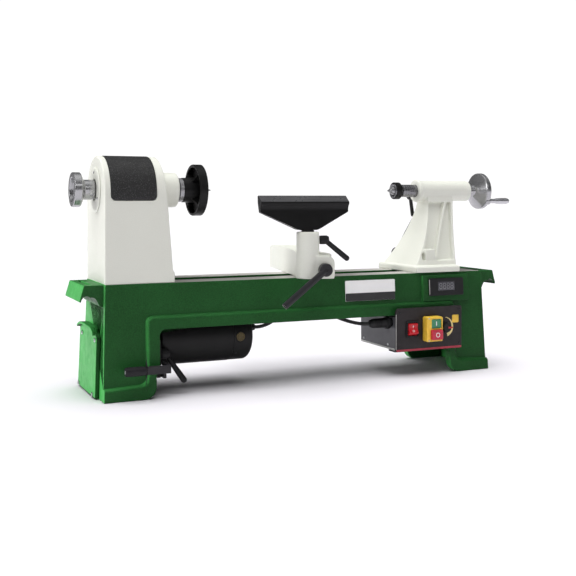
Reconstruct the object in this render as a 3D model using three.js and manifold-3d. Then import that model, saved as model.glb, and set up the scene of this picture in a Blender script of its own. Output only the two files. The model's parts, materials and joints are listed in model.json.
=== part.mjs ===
// A bench wood lathe with electronic speed control, built as separate pieces. Millimetres, +Z up.
// X runs along the bed from headstock to tailstock, and Y from the operator's side to the back.
// The pieces are drawn from the bed's front left top corner, at floor height. The whole group is
// then shifted, so that its origin is the middle of its own box, at the surface it stands on.
import * as THREE from 'three'
import { mergeVertices } from 'three/addons/utils/BufferGeometryUtils.js'
import Module from 'manifold-3d'

const wasm = await Module()
wasm.setup()

// ---- driving dimensions ----
const GAP = 0.3
const HALF_TURN = Math.PI
const QUARTER_TURN = Math.PI / 2

const bed = {
  length: 808, depth: 150, top: 206, wall: 8, deck: 14,
  flareX: 6, flareY: 10, rimProud: 8.5, slotFront: 54, slotBack: 96, slotLeft: 100, slotRight: 794,
  openingLeft: 97, openingTop: 123, openingRadius: 9, webTop: 45, webThickness: 8,
}
const axis = { y: 75, z: 376 }
const motor = { y: 75, z: 95, radius: 51, left: 98, seam: 255, right: 297 }
const motorPivot = { y: 135, z: 95 }
const lockStud = { y: 14, z: 75 }
const headstock = {
  right: 130, topRight: 112, halfDepth: 73, coverLeft: 11, coverRight: 96.3, coverBottom: 356,
}
const beltSteps = { left: 27, width: 17, spindle: [30, 39, 48], motor: [44, 35, 26], used: 1 }
const faceplate = { back: 165.3, rim: 187, front: 203.5, radius: 49.5 }
const panel = { left: 583, right: 742, bottom: 50, top: 138, back: -20, front: -24 }
const banjo = { x: 420, swivel: -12 * Math.PI / 180, left: -25, right: 25, rear: 222, front: -85 }
const restPost = { x: 388, y: -22, radius: 12.5, bottom: 214, top: 298.7 }
const tail = { left: 645, right: 752, plateTop: 220, barrelLeft: 690, barrelRight: 822, barrelRadius: 22 }
const quill = { left: 654, right: 776, radius: 13.3, boreEnd: 810 }

// ---- colours and finishes ----
function finish(color, roughness, metalness) {
  return new THREE.MeshStandardMaterial({ color, roughness, metalness })
}
const green = finish(0x1d6b2c, 0.45, 0)
const cream = finish(0xd9d9cd, 0.45, 0)
const speckledBlack = finish(0x2b2b2e, 0.6, 0)
const blackPaint = finish(0x1b1b1d, 0.4, 0)
const blackPlastic = finish(0x19191b, 0.5, 0)
const steel = finish(0x9a9a9c, 0.3, 1)
const chrome = finish(0xd8d8da, 0.12, 1)
const aluminium = finish(0xa8aaac, 0.4, 1)
const rubber = finish(0x141414, 0.8, 0)
const charcoal = finish(0x343030, 0.55, 0)
const sheetSteel = finish(0x56565a, 0.5, 0)
const yellow = finish(0xf0c846, 0.45, 0)
const redPlastic = finish(0xc8282d, 0.35, 0)
const greenPlastic = finish(0x46966e, 0.35, 0)
const whiteLabel = finish(0xf2f2f0, 0.5, 0)
const brass = finish(0xb08d57, 0.35, 1)
const displayGlass = finish(0x35363c, 0.15, 0)

// ---- solids: every geometry below is one closed body ----
const lathe = new THREE.Group()

function closed(geometry) {
  const bare = geometry.index ? geometry.toNonIndexed() : geometry.clone()
  bare.deleteAttribute('normal')
  bare.deleteAttribute('uv')
  const merged = mergeVertices(bare, 1e-4)
  const at = merged.getAttribute('position')
  const corners = [new THREE.Vector3(), new THREE.Vector3(), new THREE.Vector3()]
  const kept = []
  let volume = 0
  for (let i = 0; i < merged.index.count; i += 3) {
    const face = [0, 1, 2].map(k => merged.index.getX(i + k))
    if (new Set(face).size < 3) continue
    face.forEach((vertex, k) => corners[k].fromBufferAttribute(at, vertex))
    volume += corners[0].dot(corners[1].clone().cross(corners[2]))
    kept.push(...face)
  }
  if (volume < 0) kept.reverse()
  merged.setIndex(kept)
  return merged
}

function toManifold(geometry) {
  const body = closed(geometry)
  return new wasm.Manifold(new wasm.Mesh({
    numProp: 3,
    vertProperties: new Float32Array(body.getAttribute('position').array),
    triVerts: new Uint32Array(body.index.array),
  }))
}

function toGeometry(manifold) {
  const mesh = manifold.getMesh()
  const geometry = new THREE.BufferGeometry()
  geometry.setAttribute('position', new THREE.BufferAttribute(mesh.vertProperties, 3))
  geometry.setIndex(new THREE.BufferAttribute(mesh.triVerts, 1))
  return geometry
}

const join = (...bodies) => toGeometry(bodies.map(toManifold).reduce((all, one) => all.add(one)))
const cut = (body, ...tools) => toGeometry(
  tools.map(toManifold).reduce((left, tool) => left.subtract(tool), toManifold(body)))
const overlap = (body, other) => toGeometry(toManifold(body).intersect(toManifold(other)))

function box(x0, x1, y0, y1, z0, z1) {
  const shape = new THREE.BoxGeometry(x1 - x0, y1 - y0, z1 - z0)
  return shape.translate((x0 + x1) / 2, (y0 + y1) / 2, (z0 + z1) / 2)
}

// A stack of level rings, each with the same number of corners, skinned and capped.
function loft(rings) {
  const size = rings[0].length
  const points = rings.flat()
  const faces = []
  for (let level = 0; level < rings.length - 1; level += 1) {
    for (let i = 0; i < size; i += 1) {
      const low = level * size + i
      const lowNext = level * size + (i + 1) % size
      faces.push(low, lowNext, lowNext + size, low, lowNext + size, low + size)
    }
  }
  const last = (rings.length - 1) * size
  for (let i = 1; i < size - 1; i += 1) faces.push(0, i + 1, i, last, last + i, last + i + 1)
  const geometry = new THREE.BufferGeometry()
  geometry.setAttribute('position', new THREE.Float32BufferAttribute(points.flat(), 3))
  geometry.setIndex(faces)
  return geometry
}

const rectangleRing = (x0, x1, y0, y1, z) => [[x0, y0, z], [x1, y0, z], [x1, y1, z], [x0, y1, z]]

// A turned piece: its closed profile lists [place along X, radius].
function turned(profile, y, z, segments = 20) {
  const points = profile.map(([along, radius]) => new THREE.Vector2(radius, along))
  return new THREE.LatheGeometry(points, segments).rotateZ(-QUARTER_TURN).translate(0, y, z)
}

const ring = (x0, x1, inner, outer) => [[x0, inner], [x0, outer], [x1, outer], [x1, inner], [x0, inner]]
const rod = (x0, x1, radius) => [[x0, 0], [x0, radius], [x1, radius], [x1, 0]]

function rodX(x0, x1, y, z, radius, segments = 16) {
  return turned(rod(x0, x1, radius), y, z, segments)
}

function rodY(y0, y1, x, z, radius, segments = 16) {
  return new THREE.CylinderGeometry(radius, radius, y1 - y0, segments).translate(x, (y0 + y1) / 2, z)
}

function rodZ(z0, z1, x, y, radius, segments = 16) {
  return rodY(z0, z1, 0, 0, radius, segments).rotateX(QUARTER_TURN).translate(x, y, 0)
}

// A straight round bar between two points, thinner or thicker at its far end.
function bar(from, to, radius, farRadius = radius, segments = 12) {
  const a = new THREE.Vector3(...from)
  const b = new THREE.Vector3(...to)
  const run = b.clone().sub(a)
  const turn = new THREE.Quaternion().setFromUnitVectors(new THREE.Vector3(0, 1, 0), run.clone().normalize())
  const geometry = new THREE.CylinderGeometry(farRadius, radius, run.length(), segments)
  return geometry.applyQuaternion(turn).translate(...a.add(b).multiplyScalar(0.5).toArray())
}

const ball = (x, y, z, radius) => new THREE.SphereGeometry(radius, 8, 6).translate(x, y, z)

function outline(points) {
  const shape = new THREE.Shape()
  shape.moveTo(...points[0])
  const draw = point => (point.length === 2 ? shape.lineTo(...point) : shape.quadraticCurveTo(...point))
  points.slice(1).forEach(draw)
  return shape
}

function roundedRectangle(x0, x1, y0, y1, radius) {
  const shape = new THREE.Shape()
  shape.absarc(x1 - radius, y1 - radius, radius, 0, QUARTER_TURN)
  shape.absarc(x0 + radius, y1 - radius, radius, QUARTER_TURN, HALF_TURN)
  shape.absarc(x0 + radius, y0 + radius, radius, HALF_TURN, 3 * QUARTER_TURN)
  shape.absarc(x1 - radius, y0 + radius, radius, 3 * QUARTER_TURN, 2 * HALF_TURN)
  return shape
}

const extrude = (shape, depth, curveSegments) => new THREE.ExtrudeGeometry(
  shape, { depth, curveSegments, bevelEnabled: false })

// Outlines drawn in X and Z, in Y and Z, and in X and Y.
function prismY(shape, y0, y1, curveSegments = 2) {
  return extrude(shape, y1 - y0, curveSegments).rotateX(QUARTER_TURN).translate(0, y1, 0)
}

function prismX(shape, x0, x1, curveSegments = 3) {
  const turn = new THREE.Matrix4().makeBasis(
    new THREE.Vector3(0, 1, 0), new THREE.Vector3(0, 0, 1), new THREE.Vector3(1, 0, 0))
  return extrude(shape, x1 - x0, curveSegments).applyMatrix4(turn).translate(x0, 0, 0)
}

function prismZ(shape, z0, z1, curveSegments = 3) {
  return extrude(shape, z1 - z0, curveSegments).translate(0, 0, z0)
}

function add(name, geometry, material, parent = lathe) {
  const mesh = new THREE.Mesh(closed(geometry), material)
  mesh.name = name
  parent.add(mesh)
}

// ---- bed ----
// Both long faces and both ends lean outwards towards the floor.
function flared(margin) {
  const { length, depth, top, flareX, flareY } = bed
  return loft([
    rectangleRing(-flareX, length + flareX, -flareY - margin, depth + flareY + margin, 0),
    rectangleRing(0, length, -margin, depth + margin, top),
  ])
}

const mirrorPoint = point => point.map((value, i) => (i % 2 === 0 ? bed.length - value : value))
const mirrorX = points => points.map(mirrorPoint)

// The raised rim round the opening, down the legs and along the feet, and the raised pad of the display.
function rimOutline() {
  const leftSide = [[-20, -1], [-20, 22], [66, 26], [73, 34], [73, 140], [80, 147]]
  return outline([...leftSide, ...mirrorX(leftSide).reverse()])
}

// The gap under the bed, with a rounded inner corner at the foot of each leg.
function openingOutline() {
  const { openingLeft: x, openingTop: z, openingRadius: r, webTop } = bed
  const leftSide = [[66, -5], [66, 0], [90, 0, 90, 24], [90, webTop - 3], [x, webTop], [x, z - r]]
  const shape = outline(leftSide)
  shape.quadraticCurveTo(x, z, x + r, z)
  shape.lineTo(bed.length - x - r, z)
  shape.quadraticCurveTo(bed.length - x, z, bed.length - x, z - r)
  shape.lineTo(bed.length - x, webTop)
  shape.lineTo(bed.length - 90, webTop - 3)
  shape.lineTo(bed.length - 90, 24)
  shape.quadraticCurveTo(bed.length - 90, 0, bed.length - 66, 0)
  shape.lineTo(bed.length - 66, -5)
  return shape
}

// The grip cast on each end, scalloped underneath for the fingers.
function endGrip(mirrored) {
  const top = [[4, 206], [-36, 206], [-44, 177], [-41, 175.5]]
  const scallops = [[-38, 187, -30, 186.5], [-27, 186.5, -25, 183.5], [-15, 187, -9, 170], [-6, 165, 4, 166]]
  const points = [...top, ...scallops]
  const grip = prismY(outline(mirrored ? mirrorX(points) : points), 8, 136)
  const groove = mirrored ? bed.length + 22 : -22
  return cut(grip, box(groove - 3, groove + 3, 30, 114, 202, 210))
}

function bedCasting() {
  const { length, depth, top, wall, deck, flareX, flareY, openingLeft, webTop, webThickness } = bed
  const hollow = loft([
    rectangleRing(wall - flareX, length - wall + flareX, wall - flareY, depth - wall + flareY, -1),
    rectangleRing(wall, length - wall, wall, depth - wall, top - deck),
  ])
  const rim = overlap(flared(bed.rimProud), prismY(rimOutline(), -60, 220))
  const outside = join(flared(0), rim, endGrip(false), endGrip(true))
  const shell = cut(outside, hollow, prismY(openingOutline(), -60, 220, 4))
  const web = x => cut(
    box(x, x + webThickness, wall - 4, depth - wall + 4, webTop, top - deck + 2),
    box(x - 5, x + webThickness + 5, 34, 116, 150, top))
  const displayPad = overlap(flared(6), box(658, 770, -30, 2, 147, 201))
  const webs = join(web(openingLeft - webThickness - 0.5), web(length - openingLeft + 0.5))
  const whole = join(shell, webs, displayPad)
  const throughWeb = (y, z, radius) => rodX(openingLeft - 15, openingLeft + 5, y, z, radius)
  const webHoles = [
    throughWeb(motor.y, motor.z, 20),
    throughWeb(motorPivot.y, motorPivot.z, 6.3),
    throughWeb(lockStud.y, lockStud.z, 4.3),
  ]
  const beltWindow = box(24, 84, 24, 126, top - deck - 5, top + 5)
  const slot = box(bed.slotLeft, bed.slotRight, bed.slotFront, bed.slotBack, top - deck - 5, top + 5)
  const displayWindow = box(674.5, 752.5, -20, 14, 161.5, 190.5)
  const pulleyAccess = prismX(roundedRectangle(38, 134, 34, 108, 20), -20, wall + 4)
  return cut(whole, ...webHoles, beltWindow, slot, displayWindow, pulleyAccess)
}
add('bed_casting', bedCasting(), green)

// ---- cover over the motor pulley, on the leaning left end ----
const leftEnd = new THREE.Group()
leftEnd.position.z = bed.top
leftEnd.rotation.y = Math.atan(bed.flareX / bed.top)
lathe.add(leftEnd)

function endCover() {
  const bottom = 2 - bed.top
  const face = outline([
    [20, bottom], [21, -98], [24, -82, 50, -79, 110, -78], [145, -78, 160, -88], [166, bottom]])
  const plate = prismX(face, -8, -GAP, 5)
  const lip = outline([[24, -92], [26, -82, 50, -79, 110, -78], [145, -78, 160, -88],
    [158, -92], [145, -83, 110, -83], [52, -84, 30, -92]])
  return join(plate, prismX(lip, -15, -7, 5))
}
add('end_cover', endCover(), green, leftEnd)

// ---- headstock ----
function archProfile(halfDepth, bottom, arcCentre) {
  const shape = new THREE.Shape()
  shape.moveTo(axis.y - halfDepth, bottom)
  shape.lineTo(axis.y + halfDepth, bottom)
  shape.absarc(axis.y, arcCentre, halfDepth, 0, HALF_TURN)
  return shape
}
const archCentre = 438.5 - headstock.halfDepth

function headstockCasting() {
  const { right, topRight, halfDepth, coverLeft, coverRight, coverBottom } = headstock
  const base = bed.top + GAP
  const side = outline([
    [0, base], [right, base], [right, 225], [right - 3, 227], [topRight, 410], [topRight - 2, 450], [0, 450]])
  const arch = prismX(archProfile(halfDepth, base, archCentre), 0, right, 10)
  const block = overlap(arch, prismY(side, -10, 160))
  const noseBoss = turned([[90, 0], [90, 33], [150, 33], [153, 30], [153, 0]], axis.y, axis.z, 24)
  const rearBoss = rodX(5, 24.5, axis.y, axis.z, 34, 24)
  const coverGap = box(coverLeft, coverRight, -10, 160, coverBottom, 450)
  const hollow = box(coverLeft - 2, coverRight, 10, 140, base - 5, coverBottom - 20)
  const throat = box(coverLeft, coverRight, 10, 140, coverBottom - 25, coverBottom + 5)
  const shoulderHollow = box(104, 118, 14, 136, base - 5, 325)
  const rearBore = rodX(8, 30, axis.y, axis.z, 26.3, 24)
  const rearHole = rodX(-5, 10, axis.y, axis.z, 16)
  const noseBore = rodX(131.7, 158, axis.y, axis.z, 26.3, 24)
  const noseHole = rodX(90, 135, axis.y, axis.z, 15)
  const hollowed = cut(block, coverGap, hollow, throat, shoulderHollow)
  return cut(join(hollowed, rearBoss, noseBoss), rearBore, rearHole, noseBore, noseHole)
}
add('headstock_casting', headstockCasting(), cream)

const bearing = x => turned(ring(x, x + 15, 12.8, 26), axis.y, axis.z, 24)
add('bearing_front', bearing(132), steel)
add('bearing_rear', bearing(8.3), steel)
add('bearing_cap', turned([
  [-3, 20], [-3, 39], [-1.5, 42], [-GAP, 42], [-GAP, 20], [-3, 20]], axis.y, axis.z, 24), cream)

const coverHinge = { y: axis.y + headstock.halfDepth + 3.3, z: headstock.coverBottom - 3 }

function beltCover() {
  const { coverLeft, coverRight, coverBottom, halfDepth } = headstock
  const outer = archProfile(halfDepth + 0.8, coverBottom + GAP, archCentre)
  const inner = archProfile(halfDepth - 4, coverBottom - 5, archCentre)
  const left = coverLeft + GAP
  const right = coverRight - GAP
  const shell = cut(prismX(outer, left, right, 10), prismX(inner, left - 1, right + 1, 10))
  const knuckle = rodX(30, 78, coverHinge.y, coverHinge.z, 3, 12)
  const leaf = box(30, 78, axis.y + halfDepth + GAP, coverHinge.y + 1, coverHinge.z, coverBottom + 9)
  return cut(join(shell, knuckle, leaf), rodX(25, 83, coverHinge.y, coverHinge.z, 1.8, 12))
}
add('belt_cover', beltCover(), speckledBlack)

function coverHingePin() {
  const pin = rodX(22, 86, coverHinge.y, coverHinge.z, 1.5, 12)
  const earFront = axis.y + headstock.halfDepth + GAP
  const ear = x => box(x, x + 5, earFront, coverHinge.y + 3, coverHinge.z - 12, coverHinge.z + 3)
  return join(pin, ear(23), ear(80))
}
add('cover_hinge', coverHingePin(), steel)
add('speed_sensor', join(box(62, 74, 110, 137, 300, 312), rodZ(310, 322, 68, 122, 4, 12)), blackPlastic)

// ---- spindle, with what turns on it ----
add('spindle_shaft', turned([
  [-30, 5], [-30, 12.5], [149, 12.5], [149, 16.5], [157, 16.5], [157, 23], [165, 23], [165, 16.5],
  [199, 16.5], [199, 8.9], [125, 7.3], [125, 5], [-30, 5]], axis.y, axis.z, 24), steel)

function steppedPulley(radii, bore) {
  const profile = [[beltSteps.left, bore]]
  radii.forEach((radius, i) => {
    const left = beltSteps.left + i * beltSteps.width
    profile.push([left, radius], [left + beltSteps.width, radius])
  })
  profile.push([beltSteps.left + 3 * beltSteps.width, bore], [beltSteps.left, bore])
  return profile
}
add('spindle_pulley', turned(steppedPulley(beltSteps.spindle, 12.8), axis.y, axis.z), aluminium)

add('outboard_handwheel', turned([
  [-36, 12.8], [-36, 21], [-44, 22.5], [-44, 31], [-43, 32], [-30.5, 32], [-29, 31], [-23.5, 18.5],
  [-4, 18.5], [-4, 12.8], [-36, 12.8]], axis.y, axis.z, 24), chrome)

function faceplateBody() {
  const { back, rim, front, radius } = faceplate
  const plate = turned([
    [back, 16.8], [back, 23.5], [197.5, 24.5], [197.5, 44], [rim, 44.5], [rim, radius],
    [front, radius], [front, 12], [199.4, 12], [199.4, 16.8], [back, 16.8]], axis.y, axis.z, 28)
  const webShape = outline([[178, 23], [198.5, 23], [198.5, 46], [189, 46], [186, 32, 178, 23]])
  const web = i => prismY(webShape, -2, 2, 4).rotateX((i + 0.5) * QUARTER_TURN).translate(0, axis.y, axis.z)
  return join(plate, ...[0, 1, 2, 3].map(web))
}
add('faceplate', faceplateBody(), blackPaint)

function spurCentre() {
  const body = turned([
    [130, 0], [130, 7.05], [199, 8.55], [206, 8.7], [206, 11], [214, 11], [214, 4], [226, 0]],
    axis.y, axis.z, 16)
  const prong = angle => prismY(outline([[213, 3], [213, 10.5], [220, 10.5], [216, 3]]), -1, 1)
    .rotateX(angle).translate(0, axis.y, axis.z)
  return join(body, ...[0, 1, 2, 3].map(i => prong(i * QUARTER_TURN)))
}
add('spur_centre', spurCentre(), steel)

// ---- belt between the two pulleys, round one pair of steps ----
function beltLoop(margin) {
  const high = beltSteps.spindle[beltSteps.used] + margin
  const low = beltSteps.motor[beltSteps.used] + margin
  const tilt = Math.asin((high - low) / (axis.z - motor.z))
  const shape = new THREE.Shape()
  shape.absarc(axis.y, axis.z, high, -tilt, HALF_TURN + tilt)
  shape.absarc(motor.y, motor.z, low, HALF_TURN + tilt, 2 * HALF_TURN - tilt)
  return shape
}
const beltLeft = beltSteps.left + beltSteps.used * beltSteps.width + 2
const belt = { width: 13, thickness: 4 }
const beltOuter = prismX(beltLoop(belt.thickness), beltLeft, beltLeft + belt.width, 8)
const beltInner = prismX(beltLoop(GAP), beltLeft - 1, beltLeft + belt.width + 1, 8)
add('drive_belt', cut(beltOuter, beltInner), rubber)

// ---- motor on its swinging plate ----
add('motor_pivot_pin', turned([
  [86, 0], [86, 9], [86.7, 9], [86.7, 6], [106.3, 6], [106.3, 8], [111, 8], [111, 0]],
  motorPivot.y, motorPivot.z, 16), steel)

function motorPlate() {
  const shape = outline([
    [4, 32], [44, 32], [56, 44], [141, 44], [141, 112], [128, 144], [22, 144], [20, 104], [4, 100]])
  const plate = prismX(shape, motor.left, motor.left + 6)
  const lockSlot = box(95, 108, lockStud.y - 5, lockStud.y + 8, lockStud.z - 20, lockStud.z + 5)
  const pivotHole = rodX(95, 108, motorPivot.y, motorPivot.z, 6.3)
  return cut(plate, pivotHole, rodX(95, 108, motor.y, motor.z, 18), lockSlot)
}
add('motor_plate', motorPlate(), blackPaint)

const motorBody = motor.left + 6 + GAP
function motorHousing() {
  return turned([
    [motorBody, 12], [motorBody, 42], [motorBody + 6, 42], [motorBody + 8, motor.radius],
    [motor.seam - GAP, motor.radius],
    [motor.seam - GAP, 47], [motorBody + 14, 47], [motorBody + 14, 12], [motorBody, 12]],
    motor.y, motor.z, 24)
}
add('motor_housing', motorHousing(), blackPaint)

const brush = { x: 268, hole: 9 }
function motorEndBell() {
  const bell = turned([
    [motor.seam, 10], [motor.seam, 50.5], [288, 50.5], [293, 48.5], [motor.right, 42], [motor.right, 10],
    [motor.seam, 10]], motor.y, motor.z, 24)
  const gland = rodX(motor.right - 2, motor.right + 8, motor.y - 30, motor.z + 14, 6, 14)
  const brushHoles = [-60, 36].map(y => rodY(motor.y + y, motor.y + y + 24, brush.x, motor.z, brush.hole, 16))
  return cut(join(bell, gland), ...brushHoles)
}
add('motor_end_bell', motorEndBell(), blackPaint)
const brushCap = (y0, y1) => rodY(y0, y1, brush.x, motor.z, brush.hole - 0.5, 16)
add('brush_cap_front', brushCap(motor.y - 51, motor.y - 37), brass)
add('brush_cap_back', brushCap(motor.y + 37, motor.y + 51), brass)
add('motor_armature', turned([
  [24, 0], [24, 8], [120, 8], [120, 30], [240, 30], [240, 9.5], [285, 9.5], [285, 0]],
  motor.y, motor.z, 20), steel)
add('motor_pulley', turned(steppedPulley(beltSteps.motor, 8.3), motor.y, motor.z), aluminium)

// ---- lever that lifts the motor to slacken the belt, and the lever that locks it ----
const tension = { front: -37, z: 55, left: 66, gripEnd: 27 }
// The arm steps down behind its front end, so that it can rise past the hub of the lock lever.
function tensionArm() {
  const { front, z, left, gripEnd } = tension
  const [low, high] = [z - 7.5, z + 7.5]
  const side = box(motor.left + 7, motor.left + 13, front, 2, low, high)
  const lowered = box(motor.left + 7, motor.left + 13, -8, 36, low - 14, low + 2)
  const foot = box(motor.left + 6 + GAP, motor.left + 10, 8, 36, low - 14, low + 2)
  const forward = box(left, motor.left + 13, front, front + 6, low, high)
  return join(side, lowered, foot, forward, rodX(gripEnd + 4, left + 4, front + 3, z, 3, 12))
}
add('tension_arm', tensionArm(), blackPaint)

function tensionGrip() {
  const { front, z, left, gripEnd } = tension
  const handle = turned([
    [gripEnd, 0], [gripEnd + 1, 5.5], [gripEnd + 4, 8.5], [left - GAP, 8.5], [left - GAP, 0]],
    front + 3, z, 20)
  return cut(handle, rodX(gripEnd + 3.7, left + 2, front + 3, z, 3.3, 12))
}
add('tension_grip', tensionGrip(), blackPlastic)

// A clamping lever: a hub on its own axis, and a bar that leans out to a rounded end.
function clampLever(hubFrom, hubTo, hubRadius, tip, rootRadius, tipRadius) {
  const neck = new THREE.Vector3(...hubFrom).lerp(new THREE.Vector3(...hubTo), 0.62).toArray()
  const arm = join(bar(neck, tip, rootRadius, tipRadius, 8), ball(...tip, tipRadius * 1.02))
  return join(bar(hubFrom, hubTo, hubRadius), arm)
}
function motorLockLever() {
  const { y, z } = lockStud
  const lever = clampLever([motor.left + 6 + GAP, y, z], [motor.left + 24, y, z], 9.5, [148, 3, 24], 5, 6)
  return join(lever, rodX(motor.left - 9, motor.left + 10, y, z, 4, 12))
}
add('motor_lock_lever', motorLockLever(), blackPlastic)

// ---- controls ----
function controlBox() {
  const outer = box(585, 708, panel.back + GAP, 124, 54, 119)
  const inner = box(588, 705, panel.back - 5, 121, 57, 116)
  const socket = rodX(580, 592, 0, 108, 9, 16)
  return cut(outer, inner, socket, box(612, 640, 118, 128, 70, 94))
}
add('control_box', controlBox(), sheetSteel)
add('speed_controller', box(600, 690, 40, 112, 60, 92), aluminium)

function controlPanel() {
  const face = roundedRectangle(panel.left, panel.right, panel.bottom, panel.top, 4)
  const plate = prismY(face, panel.front, panel.back)
  const lip = prismY(outline([[panel.left, 50], [709, 50], [709, 53], [panel.left, 53]]), -22, 4)
  const holes = [
    box(609.7, 632.8, -30, -10, 82, 108),
    rodY(-30, -10, 700, 95, 4.3, 12),
    box(652, 678, -30, -10, 80, 110),
  ]
  return cut(join(plate, lip), ...holes)
}
add('control_panel', controlPanel(), charcoal)

function rockerFrame() {
  const body = prismY(roundedRectangle(606.5, 636, 78, 112, 2), panel.front - 3, panel.front - GAP)
  return cut(body, box(610, 632.5, -40, 0, 82, 108))
}
add('rocker_frame', rockerFrame(), blackPlastic)

const rocker = { y: -22.5, z: 95, radius: 12.4, tilt: -10 * Math.PI / 180 }
function rockerButton() {
  const shape = new THREE.Shape()
  const open = 0.76
  shape.absarc(0, 0, rocker.radius, HALF_TURN + open, 3 * HALF_TURN - open)
  shape.lineTo(-6.5, 0)
  return prismX(shape, 610.5, 632, 10).rotateX(rocker.tilt).translate(0, rocker.y, rocker.z)
}
add('rocker_button', rockerButton(), redPlastic)

const switchFront = -42
function switchHousing() {
  const body = prismY(roundedRectangle(646, 684, 69.5, 119.5, 3), switchFront, panel.front - GAP)
  const pocket = (x0, x1, z0, z1) => box(x0, x1, switchFront - 5, -28, z0, z1)
  return cut(body, pocket(657, 680.6, 95.8, 115), pocket(654.5, 681.4, 73, 93.8))
}
add('switch_housing', switchHousing(), yellow)
const startFace = roundedRectangle(657.4, 680.2, 96.2, 114.6, 1.5)
add('start_button', prismY(startFace, switchFront + 1, -32.5), greenPlastic)
add('stop_button', prismY(roundedRectangle(654.9, 681, 73.4, 93.4, 1.5), switchFront - 6, -33), redPlastic)

const knob = { x: 700, z: 95 }
add('speed_knob', join(
  rodY(-36, panel.front - GAP, knob.x, knob.z, 11, 24),
  rodY(panel.front - 1, -12, knob.x, knob.z, 4, 12),
  box(knob.x, knob.x + 11.5, -37.5, -34, knob.z - 2, knob.z + 2)), blackPlastic)
const inletBody = box(612.3, 639.7, 113, 127, 70.3, 93.7)
add('power_inlet', cut(inletBody, box(616, 636, 118, 130, 75, 89)), blackPlastic)

// ---- what is mounted on the leaning front face ----
const front = new THREE.Group()
front.position.z = bed.top
front.rotation.x = -Math.atan(bed.flareY / bed.top)
lathe.add(front)
const plateOnFront = (x0, x1, z0, z1, y0, y1, r) => prismY(
  roundedRectangle(x0, x1, z0 - bed.top, z1 - bed.top, r), y0, y1)
add('nameplate', plateOnFront(480, 594, 155, 196, -1.6, -GAP, 1.5), whiteLabel, front)
function displayHousing() {
  const bezel = plateOnFront(671, 756, 158, 194, -9, -6.4, 2)
  const body = plateOnFront(676, 751, 163.5, 188.5, -7, 11, 1)
  return cut(join(bezel, body), plateOnFront(693, 735, 168, 187, -12, -5, 1))
}
add('display_housing', displayHousing(), blackPlastic, front)
add('display_window', plateOnFront(693.3, 734.7, 168.3, 186.7, -8, -5.3, 1), displayGlass, front)

// ---- motor lead, held at both ends: from the motor's gland, through the bed, to its plug ----
const plug = { left: 535, y: 0, z: 108 }
function motorLead() {
  const route = [
    [305.5, 45, 109], [313, 45, 109], [327, 43, 112], [350, 38, 124], [385, 30, 140], [420, 26, 141],
    [450, 23, 133], [480, 15, 119], [505, 5, 111], [522, plug.y, plug.z + 0.4],
    [plug.left - GAP, plug.y, plug.z]]
  const path = new THREE.CatmullRomCurve3(route.map(point => new THREE.Vector3(...point)))
  const section = new THREE.Shape()
  section.absarc(0, 0, 3.5, 0, 2 * HALF_TURN)
  const along = { steps: 22, curveSegments: 4, bevelEnabled: false, extrudePath: path }
  return new THREE.ExtrudeGeometry(section, along)
}
add('motor_lead', motorLead(), rubber)
add('lead_plug', turned([
  [plug.left, 0], [plug.left, 7], [plug.left + 6, 9.5], [plug.left + 38, 10], [plug.left + 38, 13],
  [plug.left + 45, 13],
  [plug.left + 45, 8.7], [592, 8.7], [592, 0]], plug.y, plug.z, 20), blackPlastic)

// ---- tool rest base: clamp under the bed, bolt through the slot, casting that swings and slides on it ----
const clampPlateTop = bed.top - bed.deck - GAP
function clampPlate(x, half) {
  const plate = box(x - half, x + half, 40, 110, clampPlateTop - 9, clampPlateTop)
  return cut(plate, rodZ(clampPlateTop - 12, clampPlateTop + 3, x, axis.y, 6.3, 16))
}
function clampBolt(x, top) {
  const nutTop = clampPlateTop - 9 - GAP
  const nut = new THREE.CylinderGeometry(11, 11, 9, 6).rotateX(QUARTER_TURN)
  nut.translate(x, axis.y, nutTop - 4.5)
  return join(nut, rodZ(nutTop - 3, top, x, axis.y, 6, 16))
}
add('banjo_clamp_plate', clampPlate(banjo.x, 24), steel)
add('banjo_clamp_bolt', join(clampBolt(banjo.x, 226), rodZ(218, 226, banjo.x, axis.y, 10, 16)), steel)

// The casting is drawn straight, with its clamp bolt at 0, 0, and then swung to where it stands.
const banjoFrame = new THREE.Group()
banjoFrame.position.set(banjo.x, axis.y, 0)
banjoFrame.rotation.z = banjo.swivel
lathe.add(banjoFrame)
const inBanjo = (x, y) => {
  const { swivel } = banjo
  const dx = x - banjo.x
  const dy = y - axis.y
  return [dx * Math.cos(swivel) + dy * Math.sin(swivel), dy * Math.cos(swivel) - dx * Math.sin(swivel)]
}
const [postX, postY] = inBanjo(restPost.x, restPost.y)
const eccentric = { x: 17, z: 224, front: -121 }
const foot = bed.top + GAP

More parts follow.
